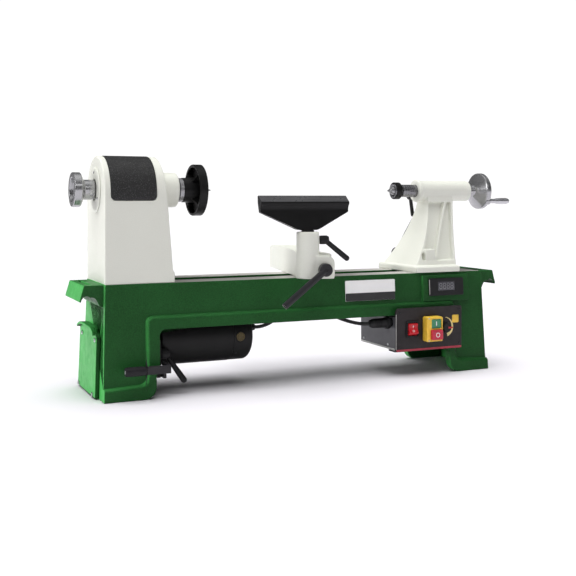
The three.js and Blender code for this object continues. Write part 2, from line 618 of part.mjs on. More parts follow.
function banjoCasting() {
  const { left, right, rear, front: armFront } = banjo
  const side = outline([
    [armFront - 20, foot], [rear, foot], [rear - 2, 236], [rear - 10, 252, rear - 32, 256],
    [60, 262, -30, 258], [armFront - 20, 252]])
  const plan = outline([
    [left - 9, armFront - 18], [right + 11, armFront - 18], [right + 11, armFront], [right, armFront + 26],
    [right, rear - 20], [right, rear, 0, rear], [left, rear, left, rear - 20], [left, armFront + 30]])
  const arm = overlap(prismX(side, -60, 60, 6), prismZ(plan, foot - 1, 300, 5))
  const post = rodZ(foot, 296, postX, postY, 22, 24)
  const cheek = box(postX, postX + 21.5, postY - 8, postY + 14, foot, 293)
  const bossShape = outline([[0, foot], [36.5, foot], [38, 212], [38, 232], [37, 250, 20, 250.5], [0, 250.5]])
  const boss = prismY(bossShape, eccentric.front, armFront + 4, 6)
  const boltSlot = prismZ(roundedRectangle(-7, 7, -66, rear - 28, 6.9), foot - 5, 232, 5)
  const tunnel = box(-14, 14, -72, rear - 22, foot - 5, 240)
  const postBore = rodZ(restPost.bottom - 2, 300, postX, postY, restPost.radius + GAP, 20)
  const eccentricBore = rodY(eccentric.front - 5, -70, eccentric.x, eccentric.z, 8.3, 16)
  const leverBore = rodX(postX + 5, postX + 30, postY, 280, 5.3, 12)
  const lowTunnel = cut(tunnel, box(-16, 16, -80, rear, 226.3, 245))
  return cut(join(arm, post, cheek, boss), lowTunnel, boltSlot, postBore, eccentricBore, leverBore)
}
add('banjo_casting', banjoCasting(), cream, banjoFrame)

function banjoLockLever() {
  const { x, z, front: y } = eccentric
  const hub = rodY(y - 18, y - GAP, x, z, 12.6)
  const eccentricShaft = rodY(y - 2, -76, x, z, 8, 16)
  return join(hub, eccentricShaft, bar([x, y - 13, z], [x - 84, y - 27, z - 66], 6.4))
}
add('banjo_lock_lever', banjoLockLever(), blackPaint, banjoFrame)

function restClampLever() {
  const left = postX + 22.3
  const tip = [left + 56, postY - 2, 243]
  const lever = clampLever([left, postY, 280], [left + 19, postY, 280], 8.5, tip, 5, 5.4)
  return join(lever, rodX(postX + 13.2, left + 4, postY, 280, 5, 12))
}
add('rest_clamp_lever', restClampLever(), blackPlastic, banjoFrame)

add('rest_post', rodZ(restPost.bottom, restPost.top, restPost.x, restPost.y, restPost.radius, 20), steel)
function toolRest() {
  const blade = outline([[289, 333], [368, 299], [406, 299], [475, 334], [476, 365.5], [288.5, 365.5]])
  const section = outline([
    [-31, 299], [-11, 299], [-14, 334], [-9, 352], [-9, 364], [-10, 365.5, -12, 365.5], [-14, 365],
    [-28, 354], [-30, 351, -28, 348], [-24, 344, -25, 336]])
  return overlap(prismX(section, 280, 490, 3), prismY(blade, -60, 20))
}
add('tool_rest', toolRest(), blackPaint)

// ---- tailstock ----
const tailLock = { x: 699, z: 238 }
const quillLock = { x: 699, z: 364 }
const pocketDepth = 10

// The column leans in towards the barrel on both faces and on its left flank. An inset makes it
// thinner from both faces, and long enough to pass right through the flanks.
function columnRings(inset = 0) {
  const height = 145
  const extra = inset * 10
  return [...Array(7).keys()].map(i => {
    const t = i / 6
    const flank = 1 - (1 - t) ** 1.8
    const face = 1 - (1 - t) ** 1.4
    const front = 8 + 43 * face + inset
    const back = 142 - 43 * face - inset
    const z = tail.plateTop - 1 + height * t
    return rectangleRing(651 + 59 * flank - extra, 751 + 24 * t + extra, front, back, z)
  })
}

function tailstockCasting() {
  const { left, right, plateTop, barrelLeft, barrelRight, barrelRadius } = tail
  const foundation = loft([
    rectangleRing(left, right, -4, 154, foot), rectangleRing(left, right, -4, 154, plateTop - 3),
    rectangleRing(left + 3, right - 1, 0, 150, plateTop)])
  const barrel = turned([
    [barrelLeft, 0], [barrelLeft, 22.5], [barrelLeft + 2, 24.5], [barrelLeft + 7, 24.5],
    [barrelLeft + 9, barrelRadius], [barrelRight - 3, barrelRadius], [barrelRight, 19.5],
    [barrelRight, 0]], axis.y, axis.z, 24)
  const pocketShape = outline([
    [671, 230], [746, 230], [758, 290, 767, 352], [713, 352], [705, 322, 697, 292], [688, 258, 671, 242]])
  const pocket = cut(prismY(pocketShape, -20, 170, 5), loft(columnRings(pocketDepth)))
  const column = loft(columnRings())
  const rib = overlap(column, prismY(outline([[699, 226], [705, 226], [757, 352], [751, 352]]), -20, 75))
  const squareBoss = box(678, 702, 13, 60, 227, 253)
  const tunnel = box(675, 722, 46, 104, foot - 5, 226)
  const solid = join(foundation, cut(column, pocket), rib, squareBoss, barrel)
  return cut(solid, tunnel,
    rodX(barrelLeft - 5, quill.boreEnd, axis.y, axis.z, quill.radius + GAP, 20),
    rodX(quill.boreEnd - 5, barrelRight + 5, axis.y, axis.z, 8.3, 20),
    rodY(28, 152, tailLock.x, tailLock.z, 8.3, 16),
    rodY(80, 110, quillLock.x, quillLock.z, 4.3, 12))
}
add('tailstock_casting', tailstockCasting(), cream)
add('tailstock_clamp_plate', clampPlate(tailLock.x, 28), steel)
add('tailstock_clamp_bolt', clampBolt(tailLock.x, 222), steel)
add('tailstock_lock_lever', join(
  rodY(30, 155, tailLock.x, tailLock.z, 8, 16),
  rodY(152.3, 170, tailLock.x, tailLock.z, 12.6),
  bar([tailLock.x, 164, tailLock.z], [tailLock.x + 60, 182, tailLock.z + 78], 6.4)), blackPaint)

add('tailstock_quill', turned([
  [quill.left, 9], [quill.left + 1, 12.8], [quill.left + 2, quill.radius],
  [quill.right, quill.radius], [quill.right, 6.6], [quill.left + 50, 6.6], [quill.left + 38, 7.9],
  [quill.left, 9]], axis.y, axis.z), steel)
add('quill_screw', turned([
  [718, 0], [718, 6.2], [804, 6.2], [804, 10], [808.5, 10], [808.5, 8], [824, 8], [824, 6.2],
  [853, 6.2], [853, 0]],
  axis.y, axis.z, 20), steel)
add('live_centre_body', turned([
  [636, 9.6], [634.5, 14], [637, 15], [637, 18], [649, 18], [651, 13], [quill.left - GAP, 12],
  [quill.left - GAP, 8.6], [quill.left + 34, 7.6], [quill.left + 34, 0], [645, 0], [645, 9.6],
  [636, 9.6]], axis.y, axis.z), steel)
add('live_centre_point', turned([
  [621, 0], [632, 7.5], [635, 9.2], [644.5, 9.2], [644.5, 0]], axis.y, axis.z), steel)

const wheel = { left: 825, crankY: axis.y - 26, crankZ: axis.z - 22 }
function tailHandwheel() {
  const body = turned([
    [wheel.left, 6.6], [wheel.left, 11.5], [838, 13], [851, 37.5], [853, 39.5], [862, 39.5], [863, 38.5],
    [863, 35.5], [857, 34.5], [851, 15], [855, 12], [855, 6.6], [wheel.left, 6.6]], axis.y, axis.z, 24)
  const crankBoss = rodX(853, 864.5, wheel.crankY, wheel.crankZ, 8, 12)
  return cut(join(body, crankBoss), rodX(858, 867, wheel.crankY, wheel.crankZ, 4.3, 12))
}
add('tail_handwheel', tailHandwheel(), chrome)
add('crank_pin', turned([
  [858.3, 0], [858.3, 4], [914.3, 4], [914.3, 5.2], [916.3, 5.2], [916.3, 0]],
  wheel.crankY, wheel.crankZ, 14), steel)
add('crank_handle', turned([
  [865.2, 4.3], [865.2, 5.2], [880, 4.9], [885, 6.6], [911, 6.8], [914, 6], [914, 4.3], [865.2, 4.3]],
  wheel.crankY, wheel.crankZ, 14), chrome)

function quillLockLever() {
  const { x, z } = quillLock
  const lever = clampLever([x, 99.5, z], [x, 114, z], 7.5, [x + 12, 117, z - 41], 4, 4.4)
  return join(lever, rodY(86, 100, x, z, 4, 12))
}
add('quill_lock_lever', quillLockLever(), blackPlastic)

// ---- origin: the middle of the box, at the surface the lathe stands on ----
const extent = new THREE.Box3().setFromObject(lathe)
const centre = extent.getCenter(new THREE.Vector3())
lathe.position.set(-centre.x, -centre.y, -extent.min.z)

export default lathe
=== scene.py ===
"""The looks of a bench wood lathe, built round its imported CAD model.

Lengths are millimetres in the bed's frame, as in the CAD source. X runs along the bed from its front left
top corner, Y from the operator's side to the back, and Z up from the floor. new_object() turns them into
metres in the row's frame.
"""
import json
import math
from types import SimpleNamespace as Sizes

import bmesh
import bpy
from mathutils import Matrix, Vector

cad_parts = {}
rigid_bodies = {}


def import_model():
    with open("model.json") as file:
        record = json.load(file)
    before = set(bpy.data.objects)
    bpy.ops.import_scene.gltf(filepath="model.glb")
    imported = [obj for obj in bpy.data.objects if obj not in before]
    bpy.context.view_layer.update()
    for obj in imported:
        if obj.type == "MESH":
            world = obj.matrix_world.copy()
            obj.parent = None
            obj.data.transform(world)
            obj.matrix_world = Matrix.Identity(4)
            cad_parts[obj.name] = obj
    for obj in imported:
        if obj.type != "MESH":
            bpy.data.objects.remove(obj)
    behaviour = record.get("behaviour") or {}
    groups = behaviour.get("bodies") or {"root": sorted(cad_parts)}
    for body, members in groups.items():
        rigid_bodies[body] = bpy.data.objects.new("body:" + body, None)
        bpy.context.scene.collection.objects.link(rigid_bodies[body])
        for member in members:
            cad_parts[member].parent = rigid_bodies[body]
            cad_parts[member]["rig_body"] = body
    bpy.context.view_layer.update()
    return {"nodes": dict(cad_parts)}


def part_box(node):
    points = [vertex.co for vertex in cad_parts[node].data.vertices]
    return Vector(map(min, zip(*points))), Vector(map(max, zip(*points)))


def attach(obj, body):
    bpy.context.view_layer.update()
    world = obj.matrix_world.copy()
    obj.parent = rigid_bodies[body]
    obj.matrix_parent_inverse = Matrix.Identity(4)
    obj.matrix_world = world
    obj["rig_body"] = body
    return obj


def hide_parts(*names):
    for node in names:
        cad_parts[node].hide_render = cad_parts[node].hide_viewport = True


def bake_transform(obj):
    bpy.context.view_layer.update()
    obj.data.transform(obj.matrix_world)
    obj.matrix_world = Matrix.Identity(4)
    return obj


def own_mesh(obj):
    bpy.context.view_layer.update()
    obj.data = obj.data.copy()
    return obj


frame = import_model()
nodes = frame["nodes"]
scene = bpy.context.scene

MM = 0.001
BROAD_WALL = 1500 * MM * MM
ON_AXIS = 1e-6
IDENTITY = Matrix.Identity(4)

# ---- driving dimensions, as in the CAD source ----
GAP = 0.3
bed = Sizes(length=808, depth=150, top=206, wall=8, deck=14, flare_x=6, flare_y=10, rim_proud=8.5,
            slot_front=54, slot_back=96, slot_left=100, slot_right=794,
            opening_left=97, opening_top=123, opening_radius=12, web_top=45, web=8)
axis = Sizes(y=75, z=376)
motor = Sizes(y=75, z=95, radius=51, left=98, plate_right=104, seam=255, brushes=268, right=297)
plug = Sizes(left=535, right=592, y=0, z=108)
lock_stud = Sizes(y=14, z=75)
head = Sizes(right=130, top_right=112, half_depth=73, cover_left=11, cover_right=96.3, cover_bottom=356,
             arch=365.5)
hinge = Sizes(y=151.3, z=353)
belt_steps = Sizes(left=27, width=17, spindle=(30, 39, 48), motor=(44, 35, 26), used=1)
faceplate = Sizes(back=165.3, rim=187, front=203.5, radius=49.5)
control = Sizes(left=585, right=708, bottom=54, top=119, rear=124)
panel = Sizes(left=583, right=742, bottom=50, top=138, back=-20, front=-24)
banjo = Sizes(x=420, swivel=math.radians(-12), left=-25, right=25, rear=222, front=-85)
eccentric = Sizes(x=17, z=224, front=-121)
post = Sizes(x=388, y=-22, radius=12.5, bottom=214, top=298.7)
tail = Sizes(left=645, right=752, plate_top=220, barrel_left=690, barrel_right=822)
quill = Sizes(left=654, right=776, radius=13.3, bore_end=810)
tail_lock = Sizes(x=699, z=238)
quill_lock = Sizes(x=699, z=364)
wheel = Sizes(left=825, crank_y=49, crank_z=354)
switch_front = -42
knob = Sizes(x=700, z=95)

SPINDLE, MOTOR_AXIS, PLUG_AXIS, PIVOT = (axis.y, axis.z), (motor.y, motor.z), (plug.y, plug.z), (135, 95)
# The control box's low corner is known in both frames, which places the bed's frame in the row's.
CONTROL_CORNER = Vector((control.left, panel.back + GAP, control.bottom))
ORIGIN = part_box("control_box")[0] - CONTROL_CORNER * MM
LEFT_END = Matrix.Translation((0, 0, bed.top)) @ Matrix.Rotation(math.atan(bed.flare_x / bed.top), 4, "Y")
FRONT_FACE = Matrix.Translation((0, 0, bed.top)) @ Matrix.Rotation(-math.atan(bed.flare_y / bed.top), 4,
                                                                   "X")
BANJO = Matrix.Translation((banjo.x, axis.y, 0)) @ Matrix.Rotation(banjo.swivel, 4, "Z")

# ---- camera ----
EYE = Vector((-383.2, -1632.4, 361.3))
HEADING = math.radians(-24.37)
camera_data = bpy.data.cameras.new("camera")
camera_data.sensor_width = 36
camera_data.lens = 57.97
camera_data.shift_y = -0.1567
camera = bpy.data.objects.new("camera", camera_data)
scene.collection.objects.link(camera)
camera.location = ORIGIN + EYE * MM
camera.rotation_euler = (math.radians(90), 0, HEADING)
scene.camera = camera


# ---- meshes ----
def new_object(name, vertices, faces, place=IDENTITY):
    mesh = bpy.data.meshes.new(name)
    mesh.from_pydata([ORIGIN + (place @ Vector(v)) * MM for v in vertices], [], faces)
    edit = bmesh.new()
    edit.from_mesh(mesh)
    bmesh.ops.remove_doubles(edit, verts=edit.verts, dist=1e-7)
    bmesh.ops.recalc_face_normals(edit, faces=edit.faces)
    edit.to_mesh(mesh)
    edit.free()
    made = bpy.data.objects.new(name, mesh)
    scene.collection.objects.link(made)
    return made


def settle(made):
    """Applies the modifiers."""
    mesh = bpy.data.meshes.new_from_object(made.evaluated_get(bpy.context.evaluated_depsgraph_get()))
    made.modifiers.clear()
    made.data = mesh
    return made


def combine(target, operation, tools):
    for tool in tools:
        step = target.modifiers.new("step", "BOOLEAN")
        step.operation, step.object, step.solver = operation, tool, "MANIFOLD"
    settle(target)
    for tool in tools:
        bpy.data.objects.remove(tool)
    return target


def join(target, *tools):
    """Adds the tools to a mesh, with a boolean."""
    return combine(target, "UNION", tools)


def cut(target, *tools):
    """Takes the tools away from a mesh."""
    return combine(target, "DIFFERENCE", tools)


def overlap(target, *tools):
    """Keeps what a mesh shares with every tool."""
    return combine(target, "INTERSECT", tools)


def loft(name, rings, place=IDENTITY):
    """Rings with the same number of corners, skinned and capped."""
    size = len(rings[0])
    faces = [list(range(size)), list(range((len(rings) - 1) * size, len(rings) * size))]
    for level in range(len(rings) - 1):
        for i in range(size):
            low, following = level * size + i, level * size + (i + 1) % size
            faces.append([low, following, following + size, low + size])
    return new_object(name, [point for ring in rings for point in ring], faces, place)


SPREAD = {"X": lambda t, u, v: (t, u, v), "Y": lambda t, u, v: (u, t, v), "Z": lambda t, u, v: (u, v, t)}


def prism(name, along, start, end, points, place=IDENTITY):
    """An outline drawn in the other two axes, in their order, and drawn out along one axis."""
    return loft(name, [[SPREAD[along](t, *point) for point in points] for t in (start, end)], place)


def block(name, x0, x1, y0, y1, z0, z1, place=IDENTITY):
    """A box between two values along each axis."""
    return prism(name, "Z", z0, z1, [(x0, y0), (x1, y0), (x1, y1), (x0, y1)], place)


def outline(points, steps=8):
    """Corners of two numbers, and of four for a curve through a control point to an end point."""
    shape = [tuple(points[0])]
    for point in points[1:]:
        if len(point) == 2:
            shape.append(tuple(point))
            continue
        start, control, end = Vector(shape[-1]), Vector(point[:2]), Vector(point[2:])
        for i in range(1, steps + 1):
            t = i / steps
            shape.append(tuple(start * (1 - t) ** 2 + control * 2 * t * (1 - t) + end * t * t))
    return shape


def arc(x, y, radius, start, end, steps=12):
    """Points of an arc, with its angles in degrees."""
    angles = [math.radians(start + (end - start) * i / steps) for i in range(steps + 1)]
    return [(x + radius * math.cos(a), y + radius * math.sin(a)) for a in angles]


def rounded(x0, x1, y0, y1, radius, steps=6):
    """A rectangle with round corners."""
    corners = [(x1, y1, 0), (x0, y1, 90), (x0, y0, 180), (x1, y0, 270)]
    points = []
    for x, y, start in corners:
        centre_x = x + (radius if x == x0 else -radius)
        centre_y = y + (radius if y == y0 else -radius)
        points += arc(centre_x, centre_y, radius, start, start + 90, steps)
    return points


def eased(profile, radius, steps=3):
    """A turned profile with its sharp corners rounded.

    Points on the axis and the ends of an open profile stay.
    """
    ring = profile[0] == profile[-1]
    corners = [Vector(p) for p in (profile[:-1] if ring else profile)]
    points = []
    for i, corner in enumerate(corners):
        before, after = corners[i - 1], corners[(i + 1) % len(corners)]
        if radius == 0 or corner.y < ON_AXIS or (not ring and i in (0, len(corners) - 1)):
            points.append(corner)
            continue
        back, ahead = before - corner, after - corner
        reach = min(radius, 0.4 * back.length, 0.4 * ahead.length)
        if back.angle(ahead) > math.radians(165):
            points.append(corner)
            continue
        start, end = corner + back.normalized() * reach, corner + ahead.normalized() * reach
        for k in range(steps + 1):
            t = k / steps
            points.append(start * (1 - t) ** 2 + corner * 2 * t * (1 - t) + end * t * t)
    return points + [points[0]] if ring else points


def turned(name, profile, centre, along="X", ease=0.5, segments=96, place=IDENTITY):
    """A turned piece.

    The profile lists (place along the axis, radius), and closes on itself or ends on the axis.
    """
    points = eased(profile, ease)
    ring = points[0] == points[-1]
    if ring:
        points = points[:-1]
    vertices, first = [], []
    for t, radius in points:
        first.append(len(vertices))
        turns = 1 if radius < ON_AXIS else segments
        for k in range(turns):
            angle = 2 * math.pi * k / segments
            u, v = centre[0] + radius * math.cos(angle), centre[1] + radius * math.sin(angle)
            vertices.append(SPREAD[along](t, u, v))
    faces = []
    for i in range(len(points) if ring else len(points) - 1):
        j = (i + 1) % len(points)
        pole_i, pole_j = points[i][1] < ON_AXIS, points[j][1] < ON_AXIS
        if pole_i and pole_j:
            continue
        for k in range(segments):
            m = (k + 1) % segments
            low = [first[i]] if pole_i else [first[i] + k, first[i] + m]
            high = [first[j]] if pole_j else [first[j] + m, first[j] + k]
            faces.append(low + high)
    return new_object(name, vertices, faces, place)


def rod(name, start, end, radius, centre, along="X", ease=0.0, segments=48, place=IDENTITY):
    """A plain round bar."""
    profile = [(start, 0), (start, radius), (end, radius), (end, 0)]
    return turned(name, profile, centre, along, ease, segments, place)


def aim(start, end):
    """A frame whose X axis runs from one point to the other."""
    start, end = Vector(start), Vector(end)
    return Matrix.Translation(start) @ (end - start).to_track_quat("X", "Z").to_matrix().to_4x4()


def soften(made, width, segments=3, angle=30, choose=None):
    """Rounds the sharp edges of a mesh."""
    edit = bmesh.new()
    edit.from_mesh(made.data)
    bmesh.ops.remove_doubles(edit, verts=edit.verts, dist=2e-6)
    bmesh.ops.dissolve_degenerate(edit, edges=edit.edges, dist=2e-6)
    bmesh.ops.dissolve_limit(edit, angle_limit=math.radians(0.6), verts=edit.verts, edges=edit.edges)
    sharp = [e for e in edit.edges if len(e.link_faces) == 2 and e.calc_face_angle(0) > math.radians(angle)]
    if choose:
        sharp = [e for e in sharp if choose(*((v.co - ORIGIN) / MM for v in e.verts))]
    bmesh.ops.bevel(edit, geom=sharp, offset=width * MM, offset_type="OFFSET", segments=segments,
                    profile=0.5, affect="EDGES", clamp_overlap=False)
    edit.to_mesh(made.data)
    edit.free()
    return made


def cast(made, voxel=1.2, rounds=5, keep=0.35):
    """Blends joined shapes as a casting does, with a fillet in each inside corner."""
    remesh = made.modifiers.new("remesh", "REMESH")
    remesh.mode, remesh.voxel_size = "VOXEL", voxel * MM
    smooth = made.modifiers.new("smooth", "SMOOTH")
    smooth.factor, smooth.iterations = 0.5, rounds
    thin = made.modifiers.new("thin", "DECIMATE")
    thin.ratio = keep
    return settle(made)


def merged(name, *parts):
    """Several closed meshes as one object, without a boolean."""
    edit = bmesh.new()
    for part in parts:
        edit.from_mesh(part.data)
        bpy.data.objects.remove(part)
    mesh = bpy.data.meshes.new(name)
    edit.to_mesh(mesh)
    edit.free()
    made = bpy.data.objects.new(name, mesh)
    scene.collection.objects.link(made)
    return made


def shade(made, angle=35, weighted=True):
    """Smooth shading, with broad flat walls kept flat."""
    for face in made.data.polygons:
        face.use_smooth = face.area < BROAD_WALL
    made.data.set_sharp_from_angle(angle=math.radians(angle))
    if weighted:
        weights = made.modifiers.new("weights", "WEIGHTED_NORMAL")
        weights.keep_sharp = True


BODIES = {name: made["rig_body"] for name, made in nodes.items()}


def coat(made, *surfaces):
    """Gives a piece its materials, in the order of their face indices."""
    made.data.materials.clear()
    for surface in surfaces:
        made.data.materials.append(surface.material)


def stand_in(made, node, *surfaces, angle=35, weighted=True):
    """The piece replaces a CAD node: it rides on the node's body, and the node is hidden."""
    made.name = node + "_fine"
    coat(made, *surfaces)
    shade(made, angle, weighted)
    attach(made, BODIES[node])
    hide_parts(node)


def trim(made, body, surface, weighted=True):
    """A small piece that has no CAD node of its own."""
    coat(made, surface)
    shade(made, weighted=weighted)
    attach(made, body)


# ---- materials ----
class Surface:
    """Builds one procedural material on the Principled shader, in object coordinates, which are metres."""

    def __init__(self, name, colour, roughness, metallic=0.0, **settings):
        self.material = bpy.data.materials.new(name)
        self.material.use_nodes = True
        self.tree = self.material.node_tree
        self.shader = self.tree.nodes["Principled BSDF"]
        self.colour, self.roughness = colour, roughness
        self.shader.inputs["Base Color"].default_value = (*colour, 1)
        self.shader.inputs["Roughness"].default_value = roughness
        self.shader.inputs["Metallic"].default_value = metallic
        for socket, value in settings.items():
            self.shader.inputs[socket.replace("_", " ").title().replace("Ior", "IOR")].default_value = value
        self.place = self.add("ShaderNodeTexCoord").outputs["Object"]
        self.tint = None
        self.height = None

    def add(self, kind, **inputs):
        node = self.tree.nodes.new(kind)
        for name, value in inputs.items():
            self.plug(node, name.replace("_", " ").title(), value)
        return node

    def plug(self, node, socket, value):
        if isinstance(value, bpy.types.NodeSocket):
            self.tree.links.new(value, node.inputs[socket])
        else:
            node.inputs[socket].default_value = value

    def noise(self, scale, stretch=(1, 1, 1), detail=3.0, source=None):
        mapping = self.add("ShaderNodeMapping", Vector=source or self.place, Scale=stretch)
        noise = self.add("ShaderNodeTexNoise", Vector=mapping.outputs[0], Scale=scale, Detail=detail)
        return noise.outputs["Fac"]

    def cells(self, scale):
        return self.add("ShaderNodeTexVoronoi", Vector=self.place, Scale=scale).outputs["Distance"]

    def turning(self, centre, along="X"):
        """Coordinates that change only along a turned piece's axis and away from it: place, radius, 0."""
        middle = {"X": (0, *centre), "Z": (*centre, 0), "Y": (centre[0], 0, centre[1])}[along]
        offset = self.add("ShaderNodeVectorMath")
        offset.operation = "SUBTRACT"
        self.plug(offset, 0, self.place)
        offset.inputs[1].default_value = ORIGIN + Vector(middle) * MM
        parts = self.add("ShaderNodeSeparateXYZ", Vector=offset.outputs[0])
        across = self.add("ShaderNodeCombineXYZ")
        u, v = {"X": "YZ", "Z": "XY", "Y": "XZ"}[along]
        self.plug(across, 0, parts.outputs[u])
        self.plug(across, 1, parts.outputs[v])
        radius = self.add("ShaderNodeVectorMath")
        radius.operation = "LENGTH"
        self.plug(radius, 0, across.outputs[0])
        combined = self.add("ShaderNodeCombineXYZ")
        self.plug(combined, 0, parts.outputs[along])
        self.plug(combined, 1, radius.outputs["Value"])
        return combined.outputs[0]

    def ranged(self, value, low, high, start=0.3, end=0.7):
        node = self.add("ShaderNodeMapRange")
        self.plug(node, "Value", value)
        for name, number in zip(("From Min", "From Max", "To Min", "To Max"), (start, end, low, high)):
            node.inputs[name].default_value = number
        return node.outputs[0]

    def vary(self, value, darker, lighter, start=0.3, end=0.7):
        """Lets the colour drift between a darker and a lighter tone."""
        ramp = self.add("ShaderNodeMix")
        ramp.data_type = "RGBA"
        base = self.tint
        self.tree.links.new(self.ranged(value, 0, 1, start, end), ramp.inputs["Factor"])
        tones = [tuple(min(1, c * share) for c in self.colour) for share in (darker, lighter)]
        ramp.inputs[6].default_value = (*tones[0], 1)
        ramp.inputs[7].default_value = (*tones[1], 1)
        if base is not None:
            blend = self.add("ShaderNodeMix")
            blend.data_type = "RGBA"
            blend.inputs["Factor"].default_value = 0.5
            self.tree.links.new(base, blend.inputs[6])
            self.tree.links.new(ramp.outputs[2], blend.inputs[7])
            ramp = blend
        self.tint = ramp.outputs[2]
        self.tree.links.new(self.tint, self.shader.inputs["Base Color"])
        return self

    def fleck(self, value, edge, colour):
        """Paints flecks where the value is under the edge."""
        mix = self.add("ShaderNodeMix")
        mix.data_type = "RGBA"
        self.tree.links.new(self.ranged(value, 1, 0, edge * 0.8, edge), mix.inputs["Factor"])
        if self.tint is None:
            mix.inputs[6].default_value = (*self.colour, 1)
        else:
            self.tree.links.new(self.tint, mix.inputs[6])
        mix.inputs[7].default_value = (*colour, 1)
        self.tint = mix.outputs[2]
        self.tree.links.new(self.tint, self.shader.inputs["Base Color"])
        return self

    def rough(self, value, spread):
        low, high = max(0.02, self.roughness - spread), min(1, self.roughness + spread)
        self.tree.links.new(self.ranged(value, low, high), self.shader.inputs["Roughness"])
        return self

    def bump(self, value, depth, strength=1.0):
        """Raises the surface by up to the depth, in millimetres."""
        node = self.add("ShaderNodeBump", Height=value)
        node.inputs["Strength"].default_value = strength
        node.inputs["Distance"].default_value = depth * MM
        if self.height is not None:
            self.tree.links.new(self.height, node.inputs["Normal"])
        self.height = node.outputs[0]
        self.tree.links.new(self.height, self.shader.inputs["Normal"])
        return self


def enamel(name, colour, roughness, peel, depth, tones, **settings):
    """Sprayed enamel with an orange-peel skin."""
    made = Surface(name, colour, roughness, **settings)
    made.vary(made.noise(9), tones[0] ** 0.5, tones[1] ** 0.5)
    made.vary(made.noise(peel, detail=5), *tones)
    made.rough(made.noise(60), 0.07)
    made.bump(made.noise(peel, detail=2), depth).bump(made.cells(peel * 0.55), depth * 0.6)
    return made


def plastic(name, colour, roughness, depth=0.03, **settings):
    made = Surface(name, colour, roughness, **settings)
    made.vary(made.noise(70), 0.85, 1.15).rough(made.noise(160), 0.06).bump(made.noise(1500, detail=1),
                                                                            depth)
    return made


def printed(name, colour):
    """Flat print on a smooth label."""
    made = Surface(name, colour, 0.4)
    made.vary(made.noise(60), 0.98, 1.02).bump(made.noise(900, detail=1), 0.006)
    return made


def turned_metal(name, colour, roughness, centre, along="X", depth=0.012, metallic=0.8):
    made = Surface(name, colour, roughness, metallic)
    marks = made.turning(centre, along)
    made.vary(made.noise(500, source=marks, detail=4), 0.86, 1.1)
    made.vary(made.noise(45), 0.92, 1.06)
    made.rough(made.noise(900, source=marks), 0.08).bump(made.noise(1400, source=marks, detail=2), depth)
    return made


GREEN = (0.011, 0.068, 0.015)
CREAM = (0.80, 0.81, 0.73)
green = enamel("green enamel", GREEN, 0.42, 520, 0.14, (0.52, 1.6), specular_ior_level=0.15)
cream = enamel("cream enamel", CREAM, 0.42, 620, 0.07, (0.94, 1.03), specular_ior_level=0.4)
black = enamel("black satin enamel", (0.007, 0.007, 0.007), 0.4, 700, 0.04, (0.8, 1.3),
               specular_ior_level=0.22)
speckled = enamel("black wrinkle enamel", (0.022, 0.022, 0.022), 0.5, 900, 0.16, (0.5, 1.7),
                  specular_ior_level=0.3)
speckled.fleck(speckled.cells(500), 0.26, (0.11, 0.11, 0.11))
moulded = plastic("black moulded plastic", (0.010, 0.010, 0.011), 0.45, specular_ior_level=0.3)
grip = plastic("black grip plastic", (0.013, 0.012, 0.015), 0.5, 0.06, specular_ior_level=0.3)
lever_black = enamel("black lever enamel", (0.018, 0.017, 0.020), 0.36, 600, 0.04, (0.85, 1.2),
                     specular_ior_level=0.35)
rubber = plastic("black rubber", (0.013, 0.013, 0.013), 0.75, 0.05)
steel = turned_metal("turned steel", (0.36, 0.36, 0.37), 0.3, SPINDLE)
dark_steel = turned_metal("oiled quill steel", (0.22, 0.22, 0.23), 0.26, SPINDLE, depth=0.006)
motor_steel = turned_metal("turned motor steel", (0.4, 0.4, 0.41), 0.32, MOTOR_AXIS)
post_steel = turned_metal("blackened post steel", (0.035, 0.035, 0.037), 0.34, (post.x, post.y), "Z")
chrome = turned_metal("polished handwheel", (0.42, 0.42, 0.43), 0.2, SPINDLE, depth=0.004)
aluminium = turned_metal("machined aluminium", (0.62, 0.62, 0.64), 0.36, SPINDLE)
motor_aluminium = turned_metal("machined motor pulley", (0.62, 0.62, 0.64), 0.36, MOTOR_AXIS)
fastener = Surface("zinc fastener", (0.62, 0.63, 0.64), 0.3, 1.0)
fastener.vary(fastener.noise(300), 0.85, 1.1).rough(fastener.noise(500), 0.08).bump(fastener.noise(900),
                                                                                    0.01)
plain_steel = Surface("machined plate steel", (0.45, 0.45, 0.46), 0.38, 1.0)
plain_steel.vary(plain_steel.noise(120, (1, 12, 12)), 0.85, 1.1).rough(plain_steel.noise(300), 0.08)
plain_steel.bump(plain_steel.noise(700, (0.1, 1, 1)), 0.01)
ground = Surface("ground bed way", (0.36, 0.35, 0.33), 0.4, 0.35)
ground.vary(ground.noise(500, (0.02, 1, 1)), 0.86, 1.08).vary(ground.noise(12), 0.93, 1.05)
ground.rough(ground.noise(90, (0.1, 1, 1)), 0.08).bump(ground.noise(1500, (0.015, 1, 1), 2), 0.012)
brass = Surface("dull brass", (0.13, 0.10, 0.04), 0.5, 0.3)
brass.vary(brass.noise(250), 0.75, 1.1).rough(brass.noise(400), 0.1).bump(brass.noise(900), 0.012)
charcoal = plastic("charcoal overlay", (0.026, 0.022, 0.023), 0.45, 0.02, specular_ior_level=0.25)
crimson = plastic("crimson stripe", (0.40, 0.02, 0.045), 0.4, 0.02)
sheet = enamel("grey sheet enamel", (0.085, 0.085, 0.095), 0.42, 700, 0.05, (0.9, 1.1))
# A pale grey painted highlight, laid as thin strips along edges.
pale_edge_highlight = enamel("pale painted edge highlight", (0.52, 0.52, 0.5), 0.4, 600, 0.03, (0.9, 1.05))
yellow = plastic("yellow plastic", (0.86, 0.55, 0.055), 0.38)
red = plastic("red plastic", (0.50, 0.012, 0.02), 0.3)
stop_red = plastic("stop red plastic", (0.55, 0.02, 0.05), 0.32)
go_green = plastic("green plastic", (0.04, 0.26, 0.13), 0.32)
white = printed("white print", (0.88, 0.88, 0.86))
